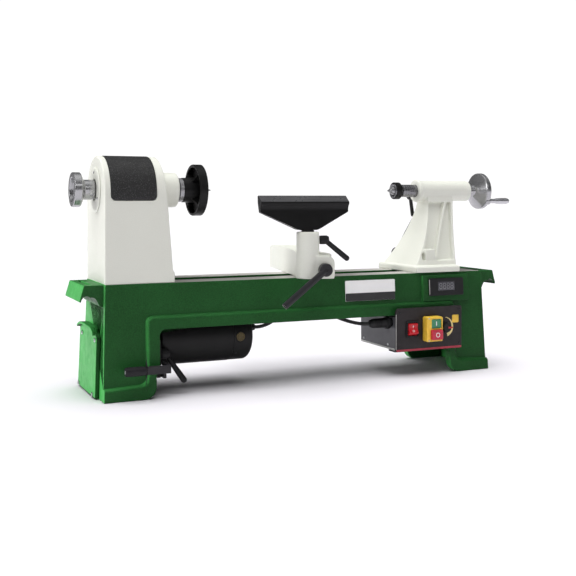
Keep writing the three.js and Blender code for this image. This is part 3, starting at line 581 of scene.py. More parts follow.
label_white = printed("white label", (0.92, 0.92, 0.91))
label_dark = plastic("dark label band", (0.022, 0.022, 0.024), 0.4, 0.01)
pale_yellow = plastic("pale yellow print", (0.80, 0.66, 0.28), 0.45, 0.01)
window = plastic("smoked window", (0.06, 0.06, 0.07), 0.14, 0.004, coat_weight=0.6, coat_roughness=0.05)
digit = plastic("unlit digit", (0.20, 0.20, 0.21), 0.4, 0.004)
recess = plastic("pale recess floor", (0.66, 0.56, 0.54), 0.4, 0.01)
# A paler black for the rest's faces along its top that look up and forward.
paler_black = Surface("paler black rest top", (0.05, 0.05, 0.053), 0.33)
paler_black.vary(paler_black.noise(220, (0.1, 1, 1)), 0.75, 1.3).rough(paler_black.noise(120), 0.08)
paler_black.bump(paler_black.noise(1200, (0.1, 1, 1)), 0.02)
crank_steel = turned_metal("turned crank steel", (0.55, 0.55, 0.57), 0.2, (wheel.crank_y, wheel.crank_z))


# ---- bed ----
def mirrored(points):
    """The same outline at the other end of the bed."""
    return [tuple(bed.length - value if i % 2 == 0 else value for i, value in enumerate(p)) for p in points]


def flared(margin):
    """The bed's block, whose faces lean outwards towards the floor."""
    low = [(-bed.flare_x, -bed.flare_y - margin), (bed.length + bed.flare_x, -bed.flare_y - margin),
           (bed.length + bed.flare_x, bed.depth + bed.flare_y + margin),
           (-bed.flare_x, bed.depth + bed.flare_y + margin)]
    high = [(0, -margin), (bed.length, -margin), (bed.length, bed.depth + margin), (0, bed.depth + margin)]
    return loft("flared", [[(x, y, 0) for x, y in low], [(x, y, bed.top) for x, y in high]])


def bed_rim():
    """The proud rim round the opening and along the feet, with a broad rounded shoulder."""
    left = outline([(-20, -1), (-20, 22), (60, 26), (73, 27, 73, 40), (73, 134), (73, 147, 86, 147)])
    right = [(bed.length - x, z) for x, z in reversed(left)]
    rim = overlap(flared(bed.rim_proud), prism("rim", "Y", -60, 220, left + right))

    def shoulder(a, b):
        lean = [bed.flare_y * (1 - p.z / bed.top) + bed.rim_proud for p in (a, b)]
        proud = all(abs(p.y + out) < 0.1 or abs(p.y - bed.depth - out) < 0.1 for p,
                    out in zip((a, b), lean))
        return proud and min(a.z, b.z) > 1 and max(abs(a.x - b.x), abs(a.z - b.z)) > 0.01 and not (
            abs(a.x - b.x) < 0.1 and not 1 < a.x < bed.length - 1)
    return soften(rim, 6, 5, 40, shoulder)


def bed_opening():
    """The gap under the bed, between the two legs."""
    x, z, r, foot = bed.opening_left, bed.opening_top, bed.opening_radius, 22
    left = [(66, -5), (66, 0)] + arc(90 - foot, foot, foot, -90, 0, 8)[1:]
    left += [(90, bed.web_top - 3), (x, bed.web_top)] + arc(x + r, z - r, r, 180, 90, 8)
    return prism("opening", "Y", -60, 220, left + [(bed.length - px, pz) for px, pz in reversed(left)])


def end_grip(flip):
    """The hooked ledge that lifts one end of the bed."""
    points = outline([(4, 205.6), (-36, 205.6), (-44, 177), (-41, 175.5), (-38, 187, -30, 186.5),
                      (-27, 186.5, -25, 183.5), (-15, 187, -9, 170), (-6, 165, 4, 166)])
    made = prism("grip", "Y", 8, 136, mirrored(points) if flip else points)
    groove = bed.length + 22 if flip else -22
    return cut(made, block("groove", groove - 3, groove + 3, 30, 114, 202.5, 210))


def bed_web(x):
    """A wall inside the bed that closes a leg off from the middle."""
    return block("web", x, x + bed.web, bed.wall - 4, bed.depth - bed.wall + 4, bed.web_top,
                 bed.top - bed.deck + 2)


def bed_casting():
    wall, length, depth, top, left = bed.wall, bed.length, bed.depth, bed.top, bed.opening_left
    x, y = wall - bed.flare_x, wall - bed.flare_y
    low = [(x, y), (length - x, y), (length - x, depth - y), (x, depth - y)]
    high = [(wall, wall), (length - wall, wall), (length - wall, depth - wall), (wall, depth - wall)]
    hollow = loft("hollow", [[(x, y, -1) for x, y in low], [(x, y, top - bed.deck) for x, y in high]])
    made = join(flared(0), bed_rim(), end_grip(False), end_grip(True))
    cut(made, hollow, bed_opening())
    pad = overlap(flared(6), block("pad", 658, 770, -30, 2, 147, 201))
    join(made, bed_web(left - bed.web - 0.5), bed_web(length - left + 0.5), pad)
    through = [rod("hole", left - 15, left + 5, radius, centre) for centre, radius in
               ((MOTOR_AXIS, 20), (PIVOT, 6.3), ((lock_stud.y, lock_stud.z), 4.3))]
    cut(made, *through,
        block("belt window", 24, 84, 24, 126, top - bed.deck - 5, top + 5),
        prism("slot", "Z", top - bed.deck - 5, top + 5,
              rounded(bed.slot_left, bed.slot_right, bed.slot_front, bed.slot_back, 4)),
        block("display hole", 674.5, 752.5, -20, 14, 161.5, 190.5),
        prism("pulley access", "X", -20, wall + 4, rounded(38, 134, 34, 108, 20)))
    soften(made, 1.3, 3, 28)
    stand_in(made, "bed_casting", green, ground)
    ways = Vector((0, 0, 1))
    for face in made.data.polygons:
        middle = (face.center - ORIGIN) / MM
        if face.normal.dot(ways) > 0.999 and middle.z > top - 0.2 and -1 < middle.x < length + 1:
            face.material_index = 1


def screw_head(name, place, radius=3.6, height=2.2, recess="cross"):
    """A pan head that stands on a surface, with its axis along X of its place."""
    head_profile = [(0, 0), (0, radius), (height * 0.45, radius), (height * 0.85, radius * 0.72),
                    (height, 0)]
    made = turned(name, head_profile, (0, 0), ease=0.4, segments=32, place=place)
    half, slot = radius * 0.55, radius * 0.13
    tools = [block("slot", height * 0.5, height + 1, -half, half, -slot, slot, place)]
    if recess == "cross":
        tools.append(block("slot", height * 0.5, height + 1, -slot, slot, -half, half, place))
    return cut(made, *tools)


def facing(x, y, z, direction):
    """A place whose X axis points along a direction."""
    return Matrix.Translation((x, y, z)) @ Vector(direction).to_track_quat("X", "Z").to_matrix().to_4x4()


def end_cover():
    """The cover over the motor pulley, screwed to the left end."""
    bottom = 2 - bed.top
    face = outline([(20, bottom), (21, -98), (24, -82, 50, -79), (110, -78), (145, -78, 160, -88),
                    (166, bottom)], 12)
    lip = outline([(24, -92), (26, -82, 50, -79), (110, -78), (145, -78, 160, -88), (158, -92),
                   (145, -83, 110, -83), (52, -84, 30, -92)], 12)
    made = join(prism("plate", "X", -8, -GAP, face, LEFT_END), prism("lip", "X", -15, -7, lip, LEFT_END))
    stand_in(soften(made, 1.2, 3, 28), "end_cover", green)
    for i, (y, z) in enumerate(((30, -101), (137, -101), (40, -200), (156, -200))):
        screw = screw_head(f"end_cover_screw_{i + 1}", LEFT_END @ facing(-8, y, z, (-1, 0, 0)), 4.2, 2.6)
        trim(screw, "bed", fastener)


bed_casting()
end_cover()


# ---- headstock ----
def arch(half_depth, bottom, steps=48):
    """The headstock seen from its end: straight sides under a half circle."""
    return [(axis.y - half_depth, bottom), (axis.y + half_depth, bottom)] + arc(
        axis.y, head.arch, half_depth, 0, 180, steps)


def headstock():
    """The headstock casting: a leaning block with a round top, open inside for the belt."""
    base, right, top_right = bed.top + GAP, head.right, head.top_right
    side = [(0, base), (right, base), (right, 225), (right - 3, 227), (top_right, 410),
            (top_right - 2, 450), (0, 450)]
    made = overlap(prism("block", "X", 0, right, arch(head.half_depth, base)),
                   prism("side", "Y", -10, 160, side))
    soften(made, 2.6, 4, 28, lambda a, b: min(a.z, b.z) > base + 1 or max(a.z, b.z) > base + 5)
    left, cover_right, bottom = head.cover_left, head.cover_right, head.cover_bottom
    cut(made,
        prism("cover gap", "Y", -10, 160, rounded(left, cover_right, bottom, 520, 9)),
        block("hollow", left - 2, cover_right, 10, 140, base - 5, bottom - 20),
        block("throat", left + 2, cover_right - 2, 10, 140, bottom - 25, bottom + 8),
        block("shoulder", 104, 118, 14, 136, base - 5, 325))
    nose = turned("nose", [(90, 0), (90, 33), (153, 33), (153, 0)], SPINDLE, ease=4)
    join(made, rod("rear boss", 5, 24.5, 34, SPINDLE), nose)
    cut(made, rod("bore", 8, 30, 26.3, SPINDLE), rod("hole", -5, 10, 16, SPINDLE),
        rod("bore", 131.7, 158, 26.3, SPINDLE), rod("hole", 90, 135, 15, SPINDLE))
    soften(made, 0.7, 2, 45)
    stand_in(made, "headstock_casting", cream)


def bearing(name, x):
    """An outer ring, an inner ring and the shield between them."""
    rings = []
    for low, high, inset, ease in ((22, 26, 0, 0.6), (12.8, 17, 0, 0.6), (17, 22, 0.8, 0.3)):
        left, right = x + inset, x + 15 - inset
        profile = [(left, low), (left, high), (right, high), (right, low), (left, low)]
        rings.append(turned("ring", profile, SPINDLE, ease=ease))
    stand_in(merged("rings", *rings), name, steel)


def bearing_cap():
    made = turned("bearing_cap_fine", [(-3, 20), (-3, 38.5), (-1.5, 42), (-GAP, 42), (-GAP, 20), (-3, 20)],
                  SPINDLE, ease=0.8)
    stand_in(made, "bearing_cap", cream)
    for i in range(3):
        angle = math.radians(90 + 120 * i)
        y, z = axis.y + 32 * math.cos(angle), axis.z + 32 * math.sin(angle)
        trim(screw_head(f"bearing_cap_screw_{i + 1}", facing(-3, y, z, (-1, 0, 0)), 2.6, 1.6), "bed",
             fastener)


def belt_cover():
    """The curved cover over the pulleys, with the leaf that it swings on."""
    left, right = head.cover_left + 0.6, head.cover_right - 0.6
    made = prism("cover", "X", left, right, arch(head.half_depth + 0.8, head.cover_bottom + 0.6))
    overlap(made, prism("corners", "Y", -10, 160, rounded(left, right, head.cover_bottom + 0.6, 520, 8.4)))
    cut(made, prism("inside", "X", left - 1, right + 1, arch(head.half_depth - 4, head.cover_bottom - 5)))
    soften(made, 1.2, 3, 35)
    leaf = block("leaf", 30, 78, axis.y + head.half_depth + 0.3, hinge.y + 1, hinge.z,
                 head.cover_bottom + 9)
    join(made, soften(leaf, 0.5, 2), rod("knuckle", 30, 78, 3, (hinge.y, hinge.z)))
    cut(made, rod("pin hole", 25, 83, 1.8, (hinge.y, hinge.z)))
    stand_in(made, "belt_cover", speckled)


def cover_hinge():
    made = rod("cover_hinge_fine", 22, 86, 1.5, (hinge.y, hinge.z), ease=0.3)
    front = axis.y + head.half_depth + GAP
    ears = [soften(block("ear", x, x + 5, front, hinge.y + 3, hinge.z - 12, hinge.z + 3), 1, 3)
            for x in (23, 80)]
    stand_in(join(made, *ears), "cover_hinge", fastener)


headstock()
bearing("bearing_front", 132)
bearing("bearing_rear", 8.3)
bearing_cap()
belt_cover()
cover_hinge()


# ---- spindle ----
def spindle():
    shaft = turned("spindle_shaft_fine", [
        (-30, 5), (-30, 12.5), (149, 12.5), (149, 16.5), (157, 16.5), (157, 23), (165, 23), (165, 16.5),
        (199, 16.5), (199, 8.9), (125, 7.3), (125, 5), (-30, 5)], SPINDLE, ease=0.7)
    stand_in(shaft, "spindle_shaft", steel)
    hand = turned("outboard_handwheel_fine", [
        (-36, 12.8), (-36, 21), (-44, 22.5), (-44, 31), (-43, 32), (-30.5, 32), (-29, 30.6), (-23.5, 18.5),
        (-4, 18.5), (-4, 12.8), (-36, 12.8)], SPINDLE, ease=1.4)
    angle = math.radians(-150)
    aside = Vector((-11, axis.y + 18.6 * math.cos(angle), axis.z + 18.6 * math.sin(angle)))
    inward = Vector((0, -math.cos(angle), -math.sin(angle)))
    hole = rod("hole", -1, 3.5, 2.7, (0, 0), segments=24, place=facing(*aside, inward))
    stand_in(cut(hand, hole), "outboard_handwheel", chrome)
    set_screw = rod("handwheel_set_screw", 1.2, 3.2, 2.6, (0, 0), ease=0.4, segments=24,
                    place=facing(*aside, inward))
    socket = prism("hex", "X", 0, 2.2, arc(0, 0, 1.5, 0, 300, 5), facing(*aside, inward))
    trim(cut(set_screw, socket), "spindle", fastener)
    # A pale pink disc over the floor of the handwheel's recess.
    pale_floor = turned("handwheel_bore_lining", [(-35.95, 12.9), (-35.95, 20.6), (-35.6, 20.6), (-35.6, 12.9),
                                              (-35.95, 12.9)], SPINDLE, ease=0)
    trim(pale_floor, "spindle", recess)


def faceplate_body():
    back, rim, front, radius = faceplate.back, faceplate.rim, faceplate.front, faceplate.radius
    made = turned("faceplate_fine", [
        (back, 16.8), (back, 23.5), (197.5, 24.5), (197.5, 44), (rim, 44.5), (rim, radius), (front, radius),
        (front, 12), (199.4, 12), (199.4, 16.8), (back, 16.8)], SPINDLE, ease=1.2, segments=128)
    web = outline([(178, 23), (198.5, 23), (198.5, 46), (189, 46), (186, 32, 178, 23)], 10)
    for i in range(4):
        turn = Matrix.Rotation((i + 0.5) * math.pi / 2, 4, "X")
        join(made, prism("web", "Y", -2, 2, web, Matrix.Translation((0, axis.y, axis.z)) @ turn))
    holes = []
    for i in range(4):
        angle = math.radians(90 * i)
        centre = (axis.y + 34 * math.cos(angle), axis.z + 34 * math.sin(angle))
        holes.append(rod("hole", 190, 210, 2.6, centre, segments=24))
    stand_in(soften(cut(made, *holes), 0.5, 2, 50), "faceplate", black)


def spur_centre():
    made = turned("spur_centre_fine", [
        (130, 0), (130, 7.05), (199, 8.55), (206, 8.7), (206, 11), (214, 11), (214, 4), (226, 0)], SPINDLE,
        ease=0.5)
    for i in range(4):
        turn = Matrix.Translation((0, axis.y, axis.z)) @ Matrix.Rotation(i * math.pi / 2, 4, "X")
        join(made, prism("prong", "Y", -1, 1, [(213, 3), (213, 10.5), (220, 10.5), (216, 3)], turn))
    stand_in(made, "spur_centre", dark_steel)


def stepped(radii, bore):
    """The profile of a pulley with three ribbed steps."""
    left, width = belt_steps.left, belt_steps.width
    profile = [(left, bore)]
    for i, radius in enumerate(radii):
        x = left + i * width
        profile += [(x, radius + 1.5), (x + 1, radius + 1.5), (x + 1.5, radius)]
        for k in range(6):
            rib = x + 2 + k * 2.2
            profile += [(rib, radius), (rib + 0.6, radius - 1.2), (rib + 1.2, radius - 1.2),
                        (rib + 1.8, radius)]
        profile += [(x + width - 1.2, radius), (x + width - 0.6, radius + 1.5), (x + width, radius + 1.5)]
    return profile + [(left + 3 * width, bore), (left, bore)]


def belt():
    """A ribbed belt, slightly waisted where it runs over its ribs."""
    used = belt_steps.used
    high, low = belt_steps.spindle[used] + 0.3, belt_steps.motor[used] + 0.3
    tilt = math.degrees(math.asin((high - low) / (axis.z - motor.z)))
    left = belt_steps.left + used * belt_steps.width + 2
    section = [(0, 3.6), (13, 3.6)]
    for k in range(6, 0, -1):
        section += [(k * 2.15 + 0.1, 1.2), (k * 2.15 - 0.9, 0.1), (k * 2.15 - 1.2, 0.1),
                    (k * 2.15 - 2.0, 1.2)]
    rings = []
    for centre, radius, start, end in ((axis, high, -tilt, 180 + tilt),
                                       (motor, low, 180 + tilt, 360 - tilt)):
        for i in range(41):
            angle = math.radians(start + (end - start) * i / 40)
            rings.append([(left + x, centre.y + (radius + r) * math.cos(angle),
                           centre.z + (radius + r) * math.sin(angle)) for x, r in section])
    size, count = len(section), len(rings)
    faces = [[i * size + k, i * size + (k + 1) % size, (i + 1) % count * size + (k + 1) % size,
              (i + 1) % count * size + k] for i in range(count) for k in range(size)]
    made = new_object("drive_belt_fine", [p for ring in rings for p in ring], faces)
    stand_in(made, "drive_belt", rubber)
    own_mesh(made)


spindle()
faceplate_body()
spur_centre()
stand_in(turned("spindle_pulley_fine", stepped([28.5, 37.5, 46.5], 12.8), SPINDLE, ease=0.15),
         "spindle_pulley", aluminium)
belt()


# ---- motor ----
def motor_unit():
    """The motor with its plate, pulley, armature and pivot pin."""
    y, z, r = motor.y, motor.z, motor.radius
    body = motor.plate_right + GAP
    can = turned("motor_housing_fine", [
        (body, 12), (body, 42), (body + 6, 42), (body + 8, r), (motor.seam - GAP, r),
        (motor.seam - GAP, 47), (body + 14, 47), (body + 14, 12), (body, 12)], (y, z), ease=1.5)
    stand_in(can, "motor_housing", black)
    bell = turned("bell", [(motor.seam, 10), (motor.seam, 50.5), (motor.right, 50.5), (motor.right, 10),
                           (motor.seam, 10)], (y, z), ease=0)
    bell = overlap(bell, turned("round", [(200, 0), (200, 60), (motor.seam - 1, 60), (motor.seam - 1, 50.6)]
                                + [(px, pr) for px, pr in arc(motor.right - 13, 37.6, 13, 90, 0, 10)]
                                + [(motor.right, 0)], (y, z), ease=0))
    vents = []
    for i in range(10):
        turn = Matrix.Translation((0, y, z)) @ Matrix.Rotation(math.radians(36 * i + 12), 4, "X")
        vents.append(prism("vent", "X", motor.right - 6, motor.right + 3, rounded(18, 33, -2.2, 2.2, 2),
                           turn))
    cut(bell, *vents)
    end = motor.right
    gland = turned("gland", [(end - 2, 0), (end - 2, 7), (end + 3, 7), (end + 8, 5.2), (end + 8, 0)],
                   (y - 30, z + 14), ease=0.8, segments=32)
    join(bell, gland)
    cut(bell, rod("hole", y - 60, y - 36, 9, (motor.brushes, z), "Y"),
        rod("hole", y + 36, y + 60, 9, (motor.brushes, z), "Y"))
    stand_in(soften(bell, 0.5, 2, 45), "motor_end_bell", black)
    for name, start, end in (("brush_cap_front", y - 51, y - 37), ("brush_cap_back", y + 51, y + 37)):
        out = 1 if end > start else -1
        cap = turned("cap", [(start, 0), (start, 5.2), (start + 0.9 * out, 5.2), (start + 0.9 * out, 6.6),
                             (start, 6.6), (start, 8.4), (end, 8.4), (end, 0)], (motor.brushes, z), "Y",
                     0.4, 48)
        low, high = sorted((start - out, start + 1.6 * out))
        cut(cap, block("slot", motor.brushes - 5, motor.brushes + 5, low, high, z - 0.8, z + 0.8))
        stand_in(cap, name, brass)
    for i, (angle, x) in enumerate(((35, 262), (-40, 262), (145, 262), (220, 262))):
        a = math.radians(angle)
        place = facing(x, y + 50.2 * math.cos(a), z + 50.2 * math.sin(a), (0, math.cos(a), math.sin(a)))
        trim(screw_head(f"motor_screw_{i + 1}", place, 2.2, 1.0), "motor", lever_black)
    plate = prism("motor_plate_fine", "X", motor.left, motor.plate_right, rounded(4, 141, 44, 144, 10))
    tab = prism("tab", "X", motor.left, motor.plate_right, rounded(4, 50, 32, 60, 5))
    join(plate, tab)
    overlap(plate, prism("corner", "X", 90, 110, [(4, 30), (141, 30), (141, 112), (128, 144), (22, 144),
                                                  (20, 104), (4, 100)]))
    cut(plate, rod("hole", 95, 108, 6.3, PIVOT), rod("hole", 95, 108, 18, (y, z)),
        prism("lock slot", "X", 95, 108, rounded(9, 22, 55, 80, 4)))
    stand_in(soften(plate, 0.6, 2, 40), "motor_plate", black)
    stand_in(turned("motor_pulley_fine", stepped([42.5, 33.5, 24.5], 8.3), (y, z), ease=0.15),
             "motor_pulley", motor_aluminium)
    shaft = [(24, 0), (24, 8), (120, 8), (120, 30), (240, 30), (240, 9.5), (285, 9.5), (285, 0)]
    stand_in(turned("motor_armature_fine", shaft, MOTOR_AXIS, ease=0.8), "motor_armature", motor_steel)
    pin = [(86, 0), (86, 9), (86.7, 9), (86.7, 6), (106.3, 6), (106.3, 8), (111, 8), (111, 0)]
    stand_in(turned("motor_pivot_pin_fine", pin, PIVOT, ease=0.3), "motor_pivot_pin", fastener)


def tension_lever():
    front, z, left, end = -37, 55, 66, 27
    x = motor.left + 7
    made = join(block("side", x, x + 6, front, 2, z - 7.5, z + 7.5),
                block("lowered", x, x + 6, -8, 36, z - 21.5, z - 5.5),
                block("foot", motor.plate_right + GAP, x + 3, 8, 36, z - 21.5, z - 5.5),
                block("forward", left, x + 6, front, front + 6, z - 7.5, z + 7.5),
                rod("core", end + 4, left + 4, 3, (front + 3, z)))
    stand_in(soften(made, 1.3, 3, 40), "tension_arm", lever_black)
    handle = turned("tension_grip_fine", [
        (end, 0), (end, 6.5), (end + 2, 8), (end + 8, 8.5), (left - 10, 8.5), (left - GAP, 7.4),
        (left - GAP, 0)],
        (front + 3, z), ease=1.6, segments=48)
    cut(handle, rod("bore", end + 3.7, left + 2, 3.3, (front + 3, z)))
    stand_in(handle, "tension_grip", grip)
    trim(turned("tension_grip_cap", [(end - 0.4, 0), (end - 0.4, 3.6), (end + 0.4, 4.2), (end + 0.6, 0)],
                (front + 3, z), ease=0.4, segments=32), "motor", fastener)


def lever_arm(name, start, tip, root, end, flat=0.95):
    """A moulded lever arm: oval, narrow behind the hub, and filling out to a round end."""
    length = (Vector(tip) - Vector(start)).length
    shares = [i / 20 for i in range(21)]
    stations = [(length * t, root + (end - root) * t * t * (3 - 2 * t)) for t in shares]
    cap = [math.pi / 2 * k / 8 for k in range(1, 9)]
    stations += [(length + end * math.sin(a), max(0.05, end * math.cos(a))) for a in cap]
    around = [2 * math.pi * k / 24 for k in range(24)]
    sections = [[(x, radius * math.cos(a) * flat, radius * math.sin(a)) for a in around] for x,
                radius in stations]
    return loft(name, sections, aim(start, tip))


def ribbed_hub(name, start, end, radius, ribs=14):
    """A clamping lever's hub, with ribs round it and a screw sunk in its end."""
    place = aim(start, end)
    length = (Vector(end) - Vector(start)).length
    made = turned(name, [(0, 0), (0, radius * 0.86), (length * 0.18, radius), (length * 0.8, radius),
                         (length, radius * 0.8), (length, 0)], (0, 0), ease=1.0, segments=64, place=place)
    grooves = []
    for i in range(ribs):
        angle = 2 * math.pi * i / ribs
        grooves.append(rod("groove", length * 0.22, length * 0.6, 0.8,
                           (radius * 1.02 * math.cos(angle), radius * 1.02 * math.sin(angle)), segments=8,
                           place=place))
    return cut(made, *grooves, rod("sink", length - 1.6, length + 2, radius * 0.5, (0, 0), segments=32,
                                   place=place)), place, length


def clamp_lever(node, hub_start, hub_end, radius, tip, root, end, stud, material, body):
    hub, place, length = ribbed_hub("hub", hub_start, hub_end, radius)
    neck = Vector(hub_start).lerp(Vector(hub_end), 0.58)
    join(hub, lever_arm("arm", neck, tip, root, end), stud)
    stand_in(hub, node, material, angle=40)
    screw = turned(node + "_screw",
                   [(length - 1.5, 0), (length - 1.5, radius * 0.46), (length - 0.5, radius * 0.4),
                                     (length - 0.4, 0)], (0, 0), ease=0.3, segments=32, place=place)
    trim(screw, body, fastener)


def motor_lock_lever():
    y, z = lock_stud.y, lock_stud.z
    clamp_lever("motor_lock_lever", (motor.plate_right + GAP, y, z), (motor.left + 24, y, z), 9.5,
                (147, 3.4, 26), 4.2, 5.8, rod("stud", motor.left - 9, motor.left + 10, 4, (y, z)), moulded,
                "motor_lock_lever")


def motor_lead():
    """The lead from the motor to its plug, over a clip on the wall of the bed."""
    route = [(305.5, 45, 109), (313, 45, 109), (327, 43, 112), (350, 38, 124), (385, 30, 140),
             (420, 26, 141),
             (450, 23, 133), (480, 15, 119), (505, 5, 111), (522, 0, 108.4), (534.7, 0, 108)]
    curve = bpy.data.curves.new("motor_lead_path", "CURVE")
    curve.dimensions, curve.bevel_depth, curve.bevel_resolution = "3D", 3.5 * MM, 6
    spline = curve.splines.new("BEZIER")
    spline.bezier_points.add(len(route) - 1)
    for point, place in zip(spline.bezier_points, route):
        point.co = ORIGIN + Vector(place) * MM
        point.handle_left_type = point.handle_right_type = "AUTO"
    curve.resolution_u = 8
    path = bpy.data.objects.new("motor_lead_path", curve)
    scene.collection.objects.link(path)
    mesh = bpy.data.meshes.new_from_object(path.evaluated_get(bpy.context.evaluated_depsgraph_get()))
    bpy.data.objects.remove(path)
    made = bpy.data.objects.new("motor_lead_fine", mesh)
    scene.collection.objects.link(made)
    edit = bmesh.new()
    edit.from_mesh(mesh)
    bmesh.ops.holes_fill(edit, edges=[e for e in edit.edges if e.is_boundary], sides=0)
    bmesh.ops.recalc_face_normals(edit, faces=edit.faces)
    edit.to_mesh(mesh)
    edit.free()
    coat(made, rubber)
    shade(made, 60, False)
    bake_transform(made)
    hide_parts("motor_lead")
    clip = turned("lead_clip", [(-4, 3.7), (-4, 4.9), (4, 4.9), (4, 3.7), (-4, 3.7)], (0, 0), ease=0.3,
                  segments=48, place=facing(420, 26, 141, (1, -0.04, 0.0)))
    strap = soften(block("strap", 416, 424, 4.6, 22.4, 139.6, 142.4), 0.4, 2)
    trim(join(clip, strap), "bed", moulded)


def lead_plug():
    """A round plug with a grooved boot and a knurled ring."""
    left, right = plug.left, plug.right
    made = turned("lead_plug_fine", [
        (left, 0), (left, 5.4), (left + 2, 7), (left + 8, 9.5), (left + 38, 10), (left + 38, 13),
        (left + 45, 13), (left + 45, 8.7), (right, 8.7), (right, 0)], PLUG_AXIS, ease=1.2, segments=64)
    grooves = [turned("groove", [(x, 8.6), (x, 12), (x + 1.6, 12), (x + 1.6, 8.6), (x, 8.6)], PLUG_AXIS,
                      ease=0)
               for x in (left + 11, left + 15, left + 19, left + 23)]
    cut(made, *grooves)
    notches = [rod("notch", left + 37, left + 46, 1.1, (13.2 * math.cos(a), plug.z + 13.2 * math.sin(a)),
                   segments=8)
               for a in (2 * math.pi * k / 18 for k in range(18))]
    stand_in(cut(made, *notches), "lead_plug", moulded)


motor_unit()
tension_lever()
motor_lock_lever()
motor_lead()
lead_plug()


# ---- controls ----
def control_box():
    """A folded sheet box with vents and an inlet at the back, and a painted highlight along its lower edge."""
    left = control.left
    made = block("control_box_fine", left, control.right, panel.back + GAP, control.rear, control.bottom,
                 control.top)
    inside = block("inside", left + 3, control.right - 3, panel.back - 5, control.rear - 3,
                   control.bottom + 3, control.top - 3)
    socket, inlet = rod("socket", left - 5, left + 7, 9, PLUG_AXIS), block("inlet", 612, 640, 118, 128, 70, 94)
    cut(made, inside, socket, inlet)
    for i in range(7):
        cut(made, prism("vent", "Y", 118, 128, rounded(652 + 6 * i, 655 + 6 * i, 68, 100, 1.4)))
    stand_in(soften(made, 0.8, 3, 40), "control_box", sheet)
    # A painted highlight: a thin pale strip under the box's lower edges and at its left bottom corner.
    lip = join(block("control_box_lip", left - 0.6, 709, panel.back + 0.2, 122, 52.9, 53.9),
               block("strip", left - 0.6, left - 0.1, panel.back + 0.2, 122, 53.5, 56.5))
    trim(lip, "bed", pale_edge_highlight)
    for i, (y, z) in enumerate(((10, 62), (10, 111), (110, 62), (110, 111))):
        trim(screw_head(f"control_box_screw_{i + 1}", facing(left, y, z, (-1, 0, 0)), 2.6, 1.4), "bed",
             fastener)


def control_panel():
    """The panel in front of the control box, with its stripe, a painted highlight down its left edge, and its
    label.
    """
    left, right, bottom, top, back, front = (panel.left, panel.right, panel.bottom, panel.top, panel.back,
                                             panel.front)
    shape = arc(right - 4, top - 4, 4, 0, 90, 6) + arc(left + 9, top - 9, 9, 90, 180, 8) + arc(
        left + 4, bottom + 4, 4, 180, 270, 6) + arc(right - 4, bottom + 4, 4, 270, 360, 6)
    made = prism("plate", "Y", front, back, shape)
    soften(made, 1.0, 3, 40)
    join(made, block("lip", left, 709, -22, 4, 50, 52.6))
    cut(made, block("rocker hole", 609.7, 632.8, -30, -10, 82, 108),
        rod("knob hole", -30, -10, 4.3, (700, 95), "Y"), block("switch hole", 652, 678, -30, -10, 80, 110))
    stand_in(made, "control_panel", charcoal)

    def overlay(name, points, material, depth=0.25):
        trim(prism(name, "Y", front - depth, front + 0.1, points), "bed", material, weighted=False)
    overlay("panel_stripe", rounded(left + 2, right - 1.2, bottom + 0.8, bottom + 5, 0.8), crimson)
    # A painted highlight: a pale strip down the panel's left edge.
    overlay("panel_edge_left", rounded(left + 0.4, left + 1.5, bottom + 5, top - 12, 0.4), pale_edge_highlight)
    low, high = -70, 85
    inner = []
    for i in range(21):
        a, radius = math.radians(high + (low - high) * i / 20), 19.6 - 6 * i / 20
        inner.append((knob.x + radius * math.cos(a), knob.z + radius * math.sin(a)))
    overlay("speed_crescent", arc(knob.x, knob.z, 20.6, low, high, 24) + inner, pale_yellow)
    overlay("plain_yellow_label", rounded(718, 734, 103, 119, 2), yellow)
    for i, (x, z) in enumerate(((left + 8, bottom + 10), (left + 10, top - 9), (right - 7, bottom + 10),
                                (right - 7, top - 8))):
        trim(screw_head(f"panel_screw_{i + 1}", facing(x, front, z, (0, -1, 0)), 2.2, 1.1), "bed",
             lever_black)


